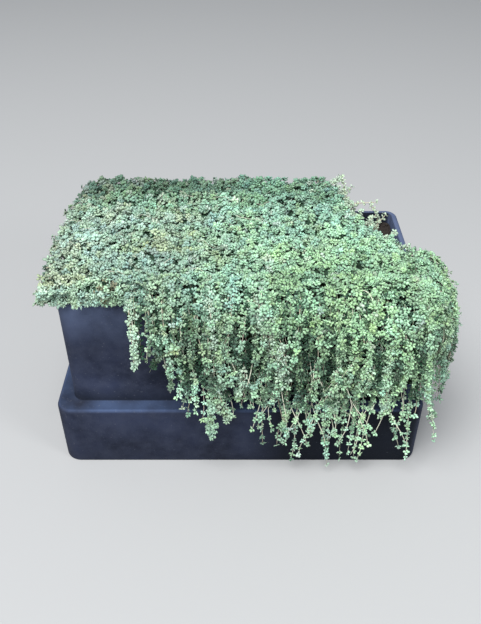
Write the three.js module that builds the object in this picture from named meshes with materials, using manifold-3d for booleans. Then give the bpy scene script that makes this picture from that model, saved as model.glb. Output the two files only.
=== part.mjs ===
// Potted woolly thyme: a creeping herb that mats over the top of a deep trough and trails down its front.
// Millimetres, +Z up, front towards -Y. The origin is the centre of the trough's flat base.
//
// The leaves are larger than life, about four times, so that a few hundred of them cover the plant.

import * as THREE from "three";
import { mergeVertices } from "three/addons/utils/BufferGeometryUtils.js";
import loadManifold from "manifold-3d";

const wasm = await loadManifold();
wasm.setup();

// The trough: a body that stands on a wider plinth, moulded in one
const RIM_Z = 262;
const BODY = { length: 450, width: 225, corner: 16 };
const PLINTH = { length: 492, width: 267, corner: 22, height: 98 };
const WALL = 9;
const FLOOR_Z = 12;
const RIM_ROUND = 7;
const LEDGE_ROUND = 5;
const BASE_ROUND = 2;
const DRAIN = { radius: 6, sides: 8, x: 150, y: 55 };

// The soil, and the plain holes that the crowns stand in
const SOIL_Z = 248;
const CLEAR = 0.4;
const CROWN = { radius: 4, depth: 16, sides: 5, xLimit: 202, yLimit: 90 };

// The mat: rows of cushions from front to back, each row with its own left and right end
const MAT_COLUMNS = 5;
const MAT_ROWS = [
  { y: -84, left: -238, right: 196 },
  { y: -10, left: -237, right: 196 },
  { y: 62, left: -230, right: 148 },
  { y: 138, left: -220, right: 127 },
];
const MAT_FRONT_HEIGHT = 11;
const MAT_RISE = 20;
const MAT_EDGE_DROP = 8;
const MAT_SEAM_DROP = 5;
const CORE_STEPS = 3;
const CELL_GAP = 0.35;
const OVERHANG_Y = -125;
const CURTAIN_LEFT = -143;

// The curtain: bunches side by side, from their roots behind the rim to their lowest leaves
const CURTAIN_RIGHT = 232;
const CURTAIN_BUNCHES = 12;
const CURTAIN_LIMIT_Y = -185;
const BUNCH_BACK = 28;
const CURTAIN_ENDS = [
  // across from the left, the lower end of the dense part, and of the loose strands
  { x: -143, dense: 226, loose: 190 },
  { x: -126, dense: 214, loose: 172 },
  { x: -100, dense: 176, loose: 152 },
  { x: -75, dense: 148, loose: 118 },
  { x: -50, dense: 128, loose: 96 },
  { x: -38, dense: 118, loose: 52 },
  { x: -5, dense: 118, loose: 74 },
  { x: 20, dense: 110, loose: 30 },
  { x: 90, dense: 92, loose: 12 },
  { x: 180, dense: 86, loose: 14 },
  { x: 236, dense: 104, loose: 26 },
];

// Bunches that hang over the right end, by their place along it
const END_BUNCHES = [
  { y: -68, dense: 150, loose: 88 },
  { y: -40, dense: 196, loose: 150 },
];
const END_BUNCH_WIDTH = 27;

// Leaves: those of the mat's tufts, and those in pairs along the loose strands
const TUFT_LEAF = { length: 21, width: 16, fold: 2.8, sunk: 2.4 };
const PAIR_LEAF = { length: 12, width: 8, fold: 1.6 };
const TUFT_SPACING = 33;
const PAIR_SPACING = 23;
const STEM_RADIUS = 1.2;

const COLOURS = { trough: 0x2c3144, soil: 0x241c17, leaf: 0x7fa783, young: 0x98b77f };

// Random numbers between 0 and 1, the same on every run
let seed = 20417;
function random() {
  seed = (seed + 0x6d2b79f5) | 0;
  let t = Math.imul(seed ^ (seed >>> 15), 1 | seed);
  t = (t + Math.imul(t ^ (t >>> 7), 61 | t)) ^ t;
  return ((t ^ (t >>> 14)) >>> 0) / 4294967296;
}
const between = (low, high) => low + (high - low) * random();
const mix = THREE.MathUtils.lerp;
const SMALLEST_DETAIL = 0.1;
const vec = (x, y, z) => new THREE.Vector3(x, y, z);

// A closed three.js geometry as a manifold solid
function solidOf(geometry) {
  const bare = new THREE.BufferGeometry().setAttribute("position", geometry.getAttribute("position"));
  bare.setIndex(geometry.index);
  const merged = mergeVertices(bare, 1e-4);
  const solid = new wasm.Manifold(
    new wasm.Mesh({
      numProp: 3,
      vertProperties: new Float32Array(merged.attributes.position.array),
      triVerts: new Uint32Array(merged.index.array),
    }),
  );
  return solid;
}

// A manifold solid as a three.js geometry
function geometryOf(solid) {
  const made = solid.getMesh();
  const geometry = new THREE.BufferGeometry();
  geometry.setAttribute("position", new THREE.BufferAttribute(made.vertProperties, made.numProp));
  geometry.setIndex(new THREE.BufferAttribute(made.triVerts, 1));
  return geometry;
}

// The largest body of a solid: sealed hollows are filled and loose scraps dropped
const mainBody = (solid) => solid.decompose().reduce((a, b) => (a.volume() > b.volume() ? a : b));

// Joins the two ends of each edge shorter than SMALLEST_DETAIL, wherever the skin stays closed
function withoutShortEdges(geometry) {
  const place = geometry.getAttribute("position");
  const points = Array.from({ length: place.count }, (_, k) => vec().fromBufferAttribute(place, k));
  const facesAt = points.map(() => new Set());
  const index = geometry.index.array;
  for (let t = 0; t < index.length; t += 3) {
    const face = [index[t], index[t + 1], index[t + 2]];
    face.forEach((k) => facesAt[k].add(face));
  }
  const around = (k) => new Set([...facesAt[k]].flat().filter((other) => other !== k));
  const join = (kept, gone) => {
    for (const face of [...facesAt[gone]]) {
      if (face.includes(kept)) {
        face.forEach((k) => facesAt[k].delete(face));
      } else {
        face[face.indexOf(gone)] = kept;
        facesAt[kept].add(face);
      }
    }
    facesAt[gone].clear();
  };
  points.forEach((point, kept) => {
    const near = (gone) => gone > kept && point.distanceTo(points[gone]) < SMALLEST_DETAIL;
    const closed = (gone) => [...around(kept)].filter((k) => around(gone).has(k)).length === 2;
    for (const gone of [...around(kept)].filter(near)) {
      if (facesAt[gone].size > 0 && closed(gone)) join(kept, gone);
    }
  });
  const left = new Set(facesAt.flatMap((faces) => [...faces]));
  const cleaned = new THREE.BufferGeometry().setAttribute("position", place);
  cleaned.setIndex([...left].flat());
  return cleaned;
}

// A manifold solid as a named three.js mesh, without the slivers that fusing leaves
function meshOf(name, solid, colour, roughness = 0.85) {
  const fused = geometryOf(mainBody(solid).simplify(SMALLEST_DETAIL));
  const geometry = geometryOf(mainBody(solidOf(withoutShortEdges(fused))));
  geometry.computeVertexNormals();
  const material = new THREE.MeshStandardMaterial({ color: colour, roughness, metalness: 0 });
  const mesh = new THREE.Mesh(geometry, material);
  mesh.name = name;
  return mesh;
}

// A closed skin over rings of equal point counts, with a flat cap on the first and last ring
function loft(rings) {
  const count = rings[0].length;
  const centre = (ring) => ring.reduce((sum, p) => sum.add(p), vec(0, 0, 0)).divideScalar(count);
  const points = [...rings.flat(), centre(rings[0]), centre(rings.at(-1))];
  const start = points.length - 2;
  const faces = [];
  for (let k = 0; k < count; k++) {
    const next = (k + 1) % count;
    faces.push(start, next, k);
    const last = (rings.length - 1) * count;
    faces.push(start + 1, last + k, last + next);
    for (let r = 0; r + 1 < rings.length; r++) {
      const low = r * count;
      const high = low + count;
      faces.push(low + k, low + next, high + next, low + k, high + next, high + k);
    }
  }
  const geometry = new THREE.BufferGeometry().setFromPoints(points);
  geometry.setIndex(faces);
  return geometry;
}

// A level outline with rounded corners, counter-clockwise from above, pulled in by inset
function roundedOutline({ length, width, corner }, z, inset = 0) {
  const steps = 3;
  const radius = Math.max(corner - inset, 2);
  const x = length / 2 - inset - radius;
  const y = width / 2 - inset - radius;
  const points = [];
  for (const [quarter, sx, sy] of [[0, 1, 1], [1, -1, 1], [2, -1, -1], [3, 1, -1]]) {
    for (let k = 0; k <= steps; k++) {
      const angle = ((quarter + k / steps) * Math.PI) / 2;
      points.push(vec(sx * x + radius * Math.cos(angle), sy * y + radius * Math.sin(angle), z));
    }
  }
  return points;
}

// The trough's skin runs up the outside, over the rim and down the inside to its floor
function troughSolid() {
  const rings = [roundedOutline(PLINTH, 0, BASE_ROUND), roundedOutline(PLINTH, BASE_ROUND)];
  const up = (outline, top, radius, parts) => {
    for (let k = 0; k <= parts; k++) {
      const angle = (k / parts) * (Math.PI / 2);
      const z = top - radius * (1 - Math.sin(angle));
      rings.push(roundedOutline(outline, z, radius * (1 - Math.cos(angle))));
    }
  };
  up(PLINTH, PLINTH.height, LEDGE_ROUND, 2);
  rings.push(roundedOutline(BODY, PLINTH.height));
  up(BODY, RIM_Z, RIM_ROUND, 2);
  rings.push(roundedOutline(BODY, RIM_Z, WALL));
  rings.push(roundedOutline(BODY, FLOOR_Z, WALL));
  const drains = [];
  for (const sx of [-1, 1]) {
    for (const sy of [-1, 1]) {
      const drain = new THREE.CylinderGeometry(DRAIN.radius, DRAIN.radius, 3 * FLOOR_Z, DRAIN.sides);
      drain.rotateX(Math.PI / 2).translate(sx * DRAIN.x, sy * DRAIN.y, 0);
      drains.push(solidOf(drain));
    }
  }
  return solidOf(loft(rings)).subtract(wasm.Manifold.union(drains));
}

// The space between the trough's walls, pulled in by inset, from one level to another
const cavitySolid = (inset, low, high) =>
  solidOf(loft([roundedOutline(BODY, low, WALL + inset), roundedOutline(BODY, high, WALL + inset)]));

// A plain prism for a crown, or for the hole that it stands in
function crownSolid(x, y, top, margin = 0) {
  const bottom = SOIL_Z - CROWN.depth - margin;
  const radius = CROWN.radius + margin;
  const prism = new THREE.CylinderGeometry(radius, radius, top - bottom, CROWN.sides);
  prism.rotateX(Math.PI / 2).translate(x, y, (top + bottom) / 2);
  return solidOf(prism);
}

// The soil has a lightly heaved top, and a hole for every crown
const soilHeave = (x, y) => 1.6 * Math.sin(x / 29) * Math.cos(y / 23) - 1.6;
function soilSolid(crowns) {
  const length = BODY.length;
  const width = BODY.width;
  const block = new THREE.BoxGeometry(length, width, 1, 5, 2, 1);
  const position = block.getAttribute("position");
  for (let i = 0; i < position.count; i++) {
    const top = SOIL_Z + soilHeave(position.getX(i), position.getY(i));
    position.setZ(i, position.getZ(i) > 0 ? top : FLOOR_Z + CLEAR);
  }
  const holes = crowns.map(({ x, y }) => crownSolid(x, y, RIM_Z, CLEAR));
  const fill = solidOf(block).intersect(cavitySolid(CLEAR, 0, RIM_Z));
  return fill.subtract(wasm.Manifold.union(holes));
}

// Plan cells keep each cushion and bunch clear of its neighbours. A cell is four corners, counter-clockwise.
const bilinear = ([a, b, c, d], u, v) => ({
  x: mix(mix(a.x, b.x, u), mix(d.x, c.x, u), v),
  y: mix(mix(a.y, b.y, u), mix(d.y, c.y, u), v),
});

// Moves a point into the cell, at least the margin from its sides
function keepInside(point, corners, margin) {
  for (let pass = 0; pass < 2; pass++) {
    corners.forEach((a, k) => {
      const b = corners[(k + 1) % corners.length];
      const run = Math.hypot(b.x - a.x, b.y - a.y);
      const inward = { x: (a.y - b.y) / run, y: (b.x - a.x) / run };
      const depth = (point.x - a.x) * inward.x + (point.y - a.y) * inward.y;
      if (depth < margin) {
        point.x += (margin - depth) * inward.x;
        point.y += (margin - depth) * inward.y;
      }
    });
  }
  return point;
}
const insetCell = (corners, margin) => corners.map((c) => keepInside({ x: c.x, y: c.y }, corners, margin));

// Lifts a point off the rim where it lies over the trough, and keeps it above the ground
function clearOfTrough(point) {
  const over = Math.abs(point.x) < BODY.length / 2 + 1 && Math.abs(point.y) < BODY.width / 2 + 1;
  point.z = Math.max(point.z, over ? RIM_Z + 0.6 : 1.2);
  return point;
}

// A leaf is four points: its sunk base, its two widest points, raised so that it folds, and its tip
function leafSolid(base, direction, normal, { length, width, fold }, tidy) {
  const side = vec().crossVectors(direction, normal).normalize();
  const middle = base.clone().addScaledVector(direction, 0.52 * length).addScaledVector(normal, fold);
  const left = middle.clone().addScaledVector(side, width / 2);
  const right = middle.clone().addScaledVector(side, -width / 2);
  const tip = base.clone().addScaledVector(direction, length).addScaledVector(normal, -0.5);
  [left, right, tip].forEach(tidy);
  const turned = left.clone().sub(base).cross(right.clone().sub(base)).dot(tip.clone().sub(base)) > 0;
  const geometry = new THREE.BufferGeometry().setFromPoints([base, left, right, tip]);
  geometry.setIndex(turned ? [0, 2, 1, 0, 1, 3, 1, 2, 3, 0, 3, 2] : [0, 1, 2, 0, 3, 1, 1, 3, 2, 0, 2, 3]);
  return solidOf(geometry);
}

// A tuft is a shoot tip seen end on: two pairs of leaves that cross, or three leaves
function tuftLeaves(centre, normal, count, tidy, lean = vec(0, 0, 0), size = 1) {
  const across = Math.abs(normal.z) < 0.8 ? vec(0, 0, 1) : vec(1, 0, 0);
  const tangent = vec().crossVectors(across, normal).normalize();
  const turn = between(0, Math.PI);
  const leaves = [];
  for (let k = 0; k < count; k++) {
    const spread = tangent.clone().applyAxisAngle(normal, turn + (k * 2 * Math.PI) / count + between(-0.2, 0.2));
    const lift = between(0.35, 0.65);
    const direction = spread.clone().multiplyScalar(Math.cos(lift)).addScaledVector(normal, Math.sin(lift));
    direction.add(lean).normalize();
    const face = normal.clone().addScaledVector(direction, -normal.dot(direction)).normalize();
    const base = centre.clone().addScaledVector(normal, -TUFT_LEAF.sunk).addScaledVector(spread, 1.2);
    const scale = size * between(0.85, 1.1);
    const leaf = { length: TUFT_LEAF.length * scale, width: TUFT_LEAF.width * scale, fold: TUFT_LEAF.fold };
    leaves.push(leafSolid(base, direction, face, leaf, tidy));
  }
  return leaves;
}

// The mat's upper surface: it rises to the back in shallow mounds
function matTop(x, y) {
  const back = THREE.MathUtils.clamp((y - OVERHANG_Y) / (MAT_ROWS.at(-1).y - OVERHANG_Y), 0, 1);
  const mounds = 3.2 * Math.sin(x / 31 + 0.6) * Math.cos(y / 27 - 0.4) + 2.2 * Math.sin(x / 17 - y / 22);
  return RIM_Z + MAT_FRONT_HEIGHT + MAT_RISE * back + mounds;
}

// The height of a cushion's core: it dips along its sides, most where the mat ends
function coreTop(corners, outer) {
  const onEnd = (i, j) =>
    (outer.left && i === 0) ||
    (outer.right && i === CORE_STEPS) ||
    (outer.front && j === 0) ||
    (outer.back && j === CORE_STEPS);
  const height = (i, j) => {
    const { x, y } = bilinear(corners, i / CORE_STEPS, j / CORE_STEPS);
    const onSeam = i % CORE_STEPS === 0 || j % CORE_STEPS === 0;
    return matTop(x, y) - (onEnd(i, j) ? MAT_EDGE_DROP : onSeam ? MAT_SEAM_DROP : 0);
  };
  return (u, v) => {
    const i = Math.min(Math.floor(u * CORE_STEPS), CORE_STEPS - 1);
    const j = Math.min(Math.floor(v * CORE_STEPS), CORE_STEPS - 1);
    const [s, t] = [u * CORE_STEPS - i, v * CORE_STEPS - j];
    return mix(mix(height(i, j), height(i + 1, j), s), mix(height(i, j + 1), height(i + 1, j + 1), s), t);
  };
}

// A slab between the cell's sides, from a bottom level to a top that is a function of u and v
function cellSlab(corners, segments, bottom, top) {
  const slab = new THREE.BoxGeometry(1, 1, 1, segments, segments, 1);
  const position = slab.getAttribute("position");
  for (let i = 0; i < position.count; i++) {
    const u = position.getX(i) + 0.5;
    const v = position.getY(i) + 0.5;
    const { x, y } = bilinear(corners, u, v);
    position.setXYZ(i, x, y, position.getZ(i) > 0 ? top(u, v) : bottom);
  }
  return solidOf(slab);
}

// A cushion: its core over the soil and the rim, the crown it grows from, and the tufts that stand on it
function cushionSolid({ corners, outer }) {
  const inside = insetCell(corners, CELL_GAP);
  const top = coreTop(inside, outer);
  const core = cellSlab(inside, CORE_STEPS, RIM_Z + 0.6, top);
  const fill = cellSlab(inside, 1, SOIL_Z + 1, () => RIM_Z + 2).intersect(cavitySolid(1.5, 0, 2 * RIM_Z));
  const middle = bilinear(corners, 0.5, 0.5);
  const crown = {
    x: THREE.MathUtils.clamp(middle.x, -CROWN.xLimit, CROWN.xLimit),
    y: THREE.MathUtils.clamp(middle.y, -CROWN.yLimit, CROWN.yLimit),
  };
  const pieces = [core, fill, crownSolid(crown.x, crown.y, RIM_Z)];

  const tidy = (point) => clearOfTrough(keepInsideOpen(point, corners, outer));
  const wide = Math.hypot(corners[1].x - corners[0].x, corners[1].y - corners[0].y);
  const deep = Math.hypot(corners[3].x - corners[0].x, corners[3].y - corners[0].y);
  const across = Math.max(1, Math.round(wide / TUFT_SPACING));
  const along = Math.max(1, Math.round(deep / TUFT_SPACING));
  for (let j = 0; j < along; j++) {
    for (let i = 0; i < across; i++) {
      const shift = j % 2 ? 0.16 : -0.16;
      const u = (i + 0.5 + shift + between(-0.14, 0.14)) / across;
      const v = (j + 0.5 + between(-0.16, 0.16)) / along;
      const { x, y } = bilinear(inside, u, v);
      const slope = vec(matTop(x - 4, y) - matTop(x + 4, y), matTop(x, y - 4) - matTop(x, y + 4), 8).normalize();
      pieces.push(...tuftLeaves(vec(x, y, top(u, v) + 0.8), slope, random() < 0.7 ? 4 : 3, tidy));
    }
  }
  const skirts = [
    { on: outer.left, from: [0, 0], to: [0, 1], outward: vec(-1, 0, 0) },
    { on: outer.right, from: [1, 0], to: [1, 1], outward: vec(0.85, 0.5, 0) },
    { on: outer.back, from: [0, 1], to: [1, 1], outward: vec(0, 1, 0) },
    { on: outer.front, from: [0, 0], to: [1, 0], outward: vec(0, -1, 0) },
  ];
  for (const { on, from, to, outward } of skirts.filter((skirt) => skirt.on)) {
    const run = from[0] === to[0] ? deep : wide;
    const tufts = Math.max(1, Math.round(run / TUFT_SPACING));
    for (let k = 0; k < tufts; k++) {
      const share = (k + 0.5 + between(-0.15, 0.15)) / tufts;
      const [u, v] = [mix(from[0], to[0], share), mix(from[1], to[1], share)];
      const { x, y } = bilinear(inside, u, v);
      const z = mix(RIM_Z, top(u, v), 0.5);
      pieces.push(...tuftLeaves(vec(x, y, z), outward.clone().normalize(), 3, tidy, vec(0, 0, -0.25), 0.92));
    }
  }
  return { solid: wasm.Manifold.union(pieces), crown };
}

// As keepInside, but leaves may reach out over the mat's own outer edges
function keepInsideOpen(point, corners, outer) {
  const REACH = 40;
  const [a, b, c, d] = corners.map((p) => ({ x: p.x, y: p.y }));
  if (outer.left) {
    a.x -= REACH;
    d.x -= REACH;
  }
  if (outer.right) {
    b.x += REACH;
    c.x += REACH;
  }
  if (outer.back) {
    c.y += REACH;
    d.y += REACH;
  }
  if (outer.front) {
    a.y -= REACH;
    b.y -= REACH;
  }
  return keepInside(point, [a, b, c, d], CELL_GAP + between(0, 1.5));
}

// The mat's cells: the rows of cushions, then two more at the front, left of the curtain
function matCells() {
  const corner = (row, column) => {
    const { y, left, right } = MAT_ROWS[row];
    const inner = column > 0 && column < MAT_COLUMNS && row > 0 && row < MAT_ROWS.length - 1;
    const sway = inner ? 9 * Math.sin(2.1 * column + 3.7 * row) : 0;
    return { x: mix(left, right, column / MAT_COLUMNS) + sway, y: y + 0.6 * sway };
  };
  const cells = [];
  for (let row = 0; row + 1 < MAT_ROWS.length; row++) {
    for (let column = 0; column < MAT_COLUMNS; column++) {
      const corners = [
        corner(row, column),
        corner(row, column + 1),
        corner(row + 1, column + 1),
        corner(row + 1, column),
      ];
      const outer = {
        left: column === 0,
        right: column === MAT_COLUMNS - 1 && row > 0,
        back: row === MAT_ROWS.length - 2,
        front: false,
      };
      cells.push({ corners, outer });
    }
  }
  const { y, left } = MAT_ROWS[0];
  const middle = (left + CURTAIN_LEFT) / 2;
  for (const [from, to] of [[left, middle], [middle, CURTAIN_LEFT]]) {
    const corners = [
      { x: from, y: OVERHANG_Y },
      { x: to, y: OVERHANG_Y },
      { x: to, y },
      { x: from, y },
    ];
    cells.push({ corners, outer: { left: from === left, right: false, back: false, front: true } });
  }
  return cells;
}

// A value that runs between listed places
function along(list, x, key) {
  const next = Math.max(1, list.findIndex((p) => p.x >= x));
  const [a, b] = [list[next - 1], list[next]];
  return mix(a[key], b[key], THREE.MathUtils.clamp((x - a.x) / (b.x - a.x), 0, 1));
}

// The line that a bunch follows: out is measured from the wall's outer face, z from the ground
function bunchLine(dense, fall) {
  const stations = [
    { out: -22, z: SOIL_Z - CROWN.depth, share: 0, thick: 0 },
    { out: -20, z: RIM_Z - 1, share: 0.28, thick: 8 },
    { out: -10, z: RIM_Z + 7, share: 0.9, thick: 10 },
    { out: 6, z: RIM_Z + 8, share: 0.92, thick: 10 },
    { out: mix(6, fall, 0.8), z: RIM_Z - 6, share: 0.86, thick: 10 },
    { out: fall, z: RIM_Z - 34, share: 0.8, thick: 9 },
    { out: fall, z: mix(RIM_Z - 34, dense, 0.6), share: 0.66, thick: 8 },
    { out: fall + 1, z: dense, share: 0.3, thick: 5 },
  ];
  return stations;
}

// A bunch: its root in the soil, a flattened core over the rim, tufts down its outside and loose strands below
function bunchSolid({ corners, origin, outward, width, dense, loose, strands }) {
  const side = vec(-outward.y, outward.x, 0);
  const fall = loose < PLINTH.height + 8 ? 32 : 25;
  const stations = bunchLine(dense, fall);
  const place = (out, z, aside = 0) => origin.clone().addScaledVector(outward, out).addScaledVector(side, aside).setZ(z);
  const centres = stations.map(({ out, z }, k) => {
    const centre = place(out, z);
    if (k < 2) centre.x = THREE.MathUtils.clamp(centre.x, -CROWN.xLimit, CROWN.xLimit);
    return centre;
  });
  const rings = stations.map(({ share, thick }, k) => {
    const before = centres[Math.max(k - 1, 0)];
    const after = centres[Math.min(k + 1, centres.length - 1)];
    const forward = after.clone().sub(before).normalize();
    const normal = vec().crossVectors(forward, side).normalize();
    const half = Math.max(CROWN.radius, (share * (width - 2.4)) / 2);
    const depth = Math.max(CROWN.radius, thick / 2);
    return Array.from({ length: 6 }, (_, n) => {
      const angle = (n * Math.PI) / 3;
      const point = centres[k].clone().addScaledVector(side, half * Math.cos(angle));
      return point.addScaledVector(normal, (depth * Math.sin(angle)) / Math.sin(Math.PI / 3));
    });
  });
  const crown = centres[0];
  const pieces = [solidOf(loft(rings.slice(1))), crownSolid(crown.x, crown.y, RIM_Z - 1)];

  const tidy = (point) => {
    keepInside(point, corners, CELL_GAP + between(0, 1.5));
    return clearOfTrough(point);
  };
  const curve = new THREE.CurvePath();
  centres.slice(2).forEach((centre, k) => curve.add(new THREE.LineCurve3(centres[k + 1], centre)));
  const length = curve.getLength();
  const tufts = Math.max(2, Math.round(length / (TUFT_SPACING - 6)));
  for (let k = 0; k < tufts; k++) {
    const at = (k + 0.3 + between(-0.1, 0.1)) / tufts;
    const forward = curve.getTangentAt(at);
    const normal = vec().crossVectors(forward, side).normalize();
    const hanging = forward.z < -0.7;
    const aside = (k % 2 ? 1 : -1) * width * (at > 0.8 ? 0.06 : 0.14);
    const centre = curve.getPointAt(at).addScaledVector(normal, mix(4.8, 3, at)).addScaledVector(side, aside);
    const lean = vec(0, 0, hanging ? -0.35 : 0);
    pieces.push(...tuftLeaves(centre, normal, k % 3 === 2 ? 3 : 4, tidy, lean, 0.95));
  }
  for (const { aside, tip } of strands) {
    const low = mix(loose, dense, tip);
    const top = place(fall + 1, dense + 9, aside * 0.4);
    const bend = place(fall + 3, mix(dense, low, 0.5), aside);
    const end = place(fall + 5, low, aside * 1.3);
    pieces.push(...strandPieces([top, bend, end], outward, tidy));
  }
  return { solid: wasm.Manifold.union(pieces), crown };
}

// A thin three-sided stem through the points
function stemSolid(points, radius = STEM_RADIUS, steps = 3) {
  const section = new THREE.Shape();
  for (let k = 0; k < 3; k++) {
    const angle = (k * 2 * Math.PI) / 3;
    section[k ? "lineTo" : "moveTo"](radius * Math.cos(angle), radius * Math.sin(angle));
  }
  section.closePath();
  const extrudePath = new THREE.CatmullRomCurve3(points);
  return solidOf(new THREE.ExtrudeGeometry(section, { steps, extrudePath, bevelEnabled: false }));
}

// A loose strand: its stem, and pairs of leaves that turn a quarter from one pair to the next
function strandPieces(points, facing, tidy, spacing = PAIR_SPACING) {
  const pieces = [stemSolid(points)];
  const curve = new THREE.CatmullRomCurve3(points);
  const pairs = Math.max(2, Math.round(curve.getLength() / spacing));
  for (let k = 1; k <= pairs; k++) {
    const at = k / pairs - 0.02;
    const forward = curve.getTangentAt(at);
    const centre = curve.getPointAt(at);
    const first = vec().crossVectors(forward, facing).normalize();
    const turn = (k % 2 ? 0.35 : 1.2) + between(-0.25, 0.25);
    for (const opposite of [0, Math.PI]) {
      const spread = first.clone().applyAxisAngle(forward, turn + opposite);
      const direction = spread.clone().addScaledVector(forward, 0.25).normalize();
      const scale = between(0.85, 1.12);
      const leaf = { length: PAIR_LEAF.length * scale, width: PAIR_LEAF.width * scale, fold: PAIR_LEAF.fold };
      const face = forward.clone().negate().addScaledVector(direction, forward.dot(direction)).normalize();
      pieces.push(leafSolid(centre, direction, face, leaf, tidy));
    }
  }
  return pieces;
}

// The curtain's bunches along the front, then those over the right end
function curtainBunches() {
  const bunches = [];
  const width = (CURTAIN_RIGHT - CURTAIN_LEFT) / CURTAIN_BUNCHES;
  const back = -BODY.width / 2 + BUNCH_BACK + 0.4;
  for (let k = 0; k < CURTAIN_BUNCHES; k++) {
    const left = CURTAIN_LEFT + k * width;
    const x = left + width / 2;
    const right = left + width;
    const corners = [
      { x: left, y: CURTAIN_LIMIT_Y },
      { x: right, y: CURTAIN_LIMIT_Y },
      { x: right, y: back },
      { x: left, y: back },
    ];
    const strands = [{ aside: -0.24 * width, tip: between(0, 0.15) }];
    if (k % 3 !== 1) strands.push({ aside: 0.24 * width, tip: between(0.25, 0.5) });
    bunches.push({
      corners,
      origin: vec(x, -BODY.width / 2, 0),
      outward: vec(0, -1, 0),
      width,
      dense: along(CURTAIN_ENDS, x, "dense") + between(-6, 6),
      loose: along(CURTAIN_ENDS, x, "loose") + between(0, 8),
      strands,
    });
  }
  for (const { y, dense, loose } of END_BUNCHES) {
    const half = END_BUNCH_WIDTH / 2;
    const inner = BODY.length / 2 - BUNCH_BACK;
    const corners = [
      { x: inner, y: y - half },
      { x: inner + 90, y: y - half },
      { x: inner + 90, y: y + half },
      { x: inner, y: y + half },
    ];
    const strands = [{ aside: 3, tip: 0.05 }];
    const origin = vec(BODY.length / 2, y, 0);
    bunches.push({ corners, origin, outward: vec(1, 0, 0), width: END_BUNCH_WIDTH, dense, loose, strands });
  }
  return bunches;
}

// The free shoots at the right rear, each a branched line of points up from its crown
const SHOOTS = [
  {
    crown: vec(168, 80, SOIL_Z),
    lines: [
      [vec(168, 80, 249), vec(166, 79, 270), vec(154, 77, 301), vec(143, 78, 331)],
      [vec(162, 79, 283), vec(173, 77, 291), vec(188, 74, 295)],
    ],
  },
  {
    crown: vec(186, 52, SOIL_Z),
    lines: [
      [vec(186, 52, 249), vec(186, 53, 262), vec(192, 55, 276), vec(199, 58, 284)],
      [vec(187, 53, 262), vec(180, 48, 276), vec(176, 44, 287)],
    ],
  },
  {
    crown: vec(196, 90, SOIL_Z),
    lines: [[vec(196, 90, 249), vec(196, 90, 258), vec(192, 88, 272), vec(185, 92, 279)]],
  },
];
function shootSolid({ crown, lines }) {
  const pieces = [crownSolid(crown.x, crown.y, SOIL_Z + 3)];
  for (const points of lines) pieces.push(...strandPieces(points, vec(0, -1, 0), (p) => p, 12));
  return wasm.Manifold.union(pieces);
}

// The whole plant in its trough
function pottedThyme() {
  const group = new THREE.Group();
  const crowns = SHOOTS.map(({ crown }) => crown);
  const two = (k) => String(k + 1).padStart(2, "0");

  matCells().forEach((cell, k) => {
    const { solid, crown } = cushionSolid(cell);
    crowns.push(crown);
    group.add(meshOf("cushion_" + two(k), solid, COLOURS.leaf));
  });
  curtainBunches().forEach((bunch, k) => {
    const { solid, crown } = bunchSolid(bunch);
    crowns.push(crown);
    group.add(meshOf("trailing_bunch_" + two(k), solid, COLOURS.leaf));
  });
  SHOOTS.forEach((shoot, k) => group.add(meshOf("upright_shoot_" + two(k), shootSolid(shoot), COLOURS.young)));
  group.add(meshOf("trough", troughSolid(), COLOURS.trough, 0.7));
  group.add(meshOf("soil", soilSolid(crowns), COLOURS.soil, 0.95));
  return group;
}

export default pottedThyme();
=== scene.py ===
# %% [markdown]
# # Woolly thyme in a stepped trough
#
# Woolly thyme is a creeping herb. Its stems run flat, root as they go, and knit into a mat of small hairy
# leaves that looks silver-green. Over an edge the same stems hang straight down as a curtain.
#
# The solids from the workshop model are the frame here. They show the plant with a few hundred large
# leaves. This lesson puts the real number of leaves in their place, at their real size of about 5 mm.

import bpy
import numpy as np
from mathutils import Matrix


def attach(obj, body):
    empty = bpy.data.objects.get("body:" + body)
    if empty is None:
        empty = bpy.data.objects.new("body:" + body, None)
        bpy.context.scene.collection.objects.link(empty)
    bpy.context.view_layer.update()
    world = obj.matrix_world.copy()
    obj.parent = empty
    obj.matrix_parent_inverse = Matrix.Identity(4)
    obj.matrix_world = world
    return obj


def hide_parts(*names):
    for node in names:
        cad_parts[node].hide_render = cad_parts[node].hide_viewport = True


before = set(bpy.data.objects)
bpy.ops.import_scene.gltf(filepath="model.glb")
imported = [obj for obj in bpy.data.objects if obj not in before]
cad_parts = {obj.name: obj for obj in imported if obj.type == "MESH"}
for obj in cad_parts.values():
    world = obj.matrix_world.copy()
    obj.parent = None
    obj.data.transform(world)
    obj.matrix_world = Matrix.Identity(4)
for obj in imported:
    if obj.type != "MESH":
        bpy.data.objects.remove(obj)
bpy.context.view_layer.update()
print("frame nodes:", len(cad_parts))

# %% [markdown]
# ## The measures
#
# All lengths are in millimetres, as on a workshop drawing, and turn into metres when a mesh is made. They
# are the same named values as in the solids, so that every leaf lands where its solid is.

# %% Measures of the trough
RIM_Z = 262.0
SOIL_Z = 248.0
FLOOR_Z = 12.0
WALL = 9.0
BODY = {"length": 450.0, "width": 225.0, "corner": 16.0}
PLINTH = {"length": 492.0, "width": 267.0, "corner": 22.0, "height": 98.0}
DRAIN = {"radius": 6.0, "x": 150.0, "y": 55.0}
MILLIMETRE = 0.001

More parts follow.
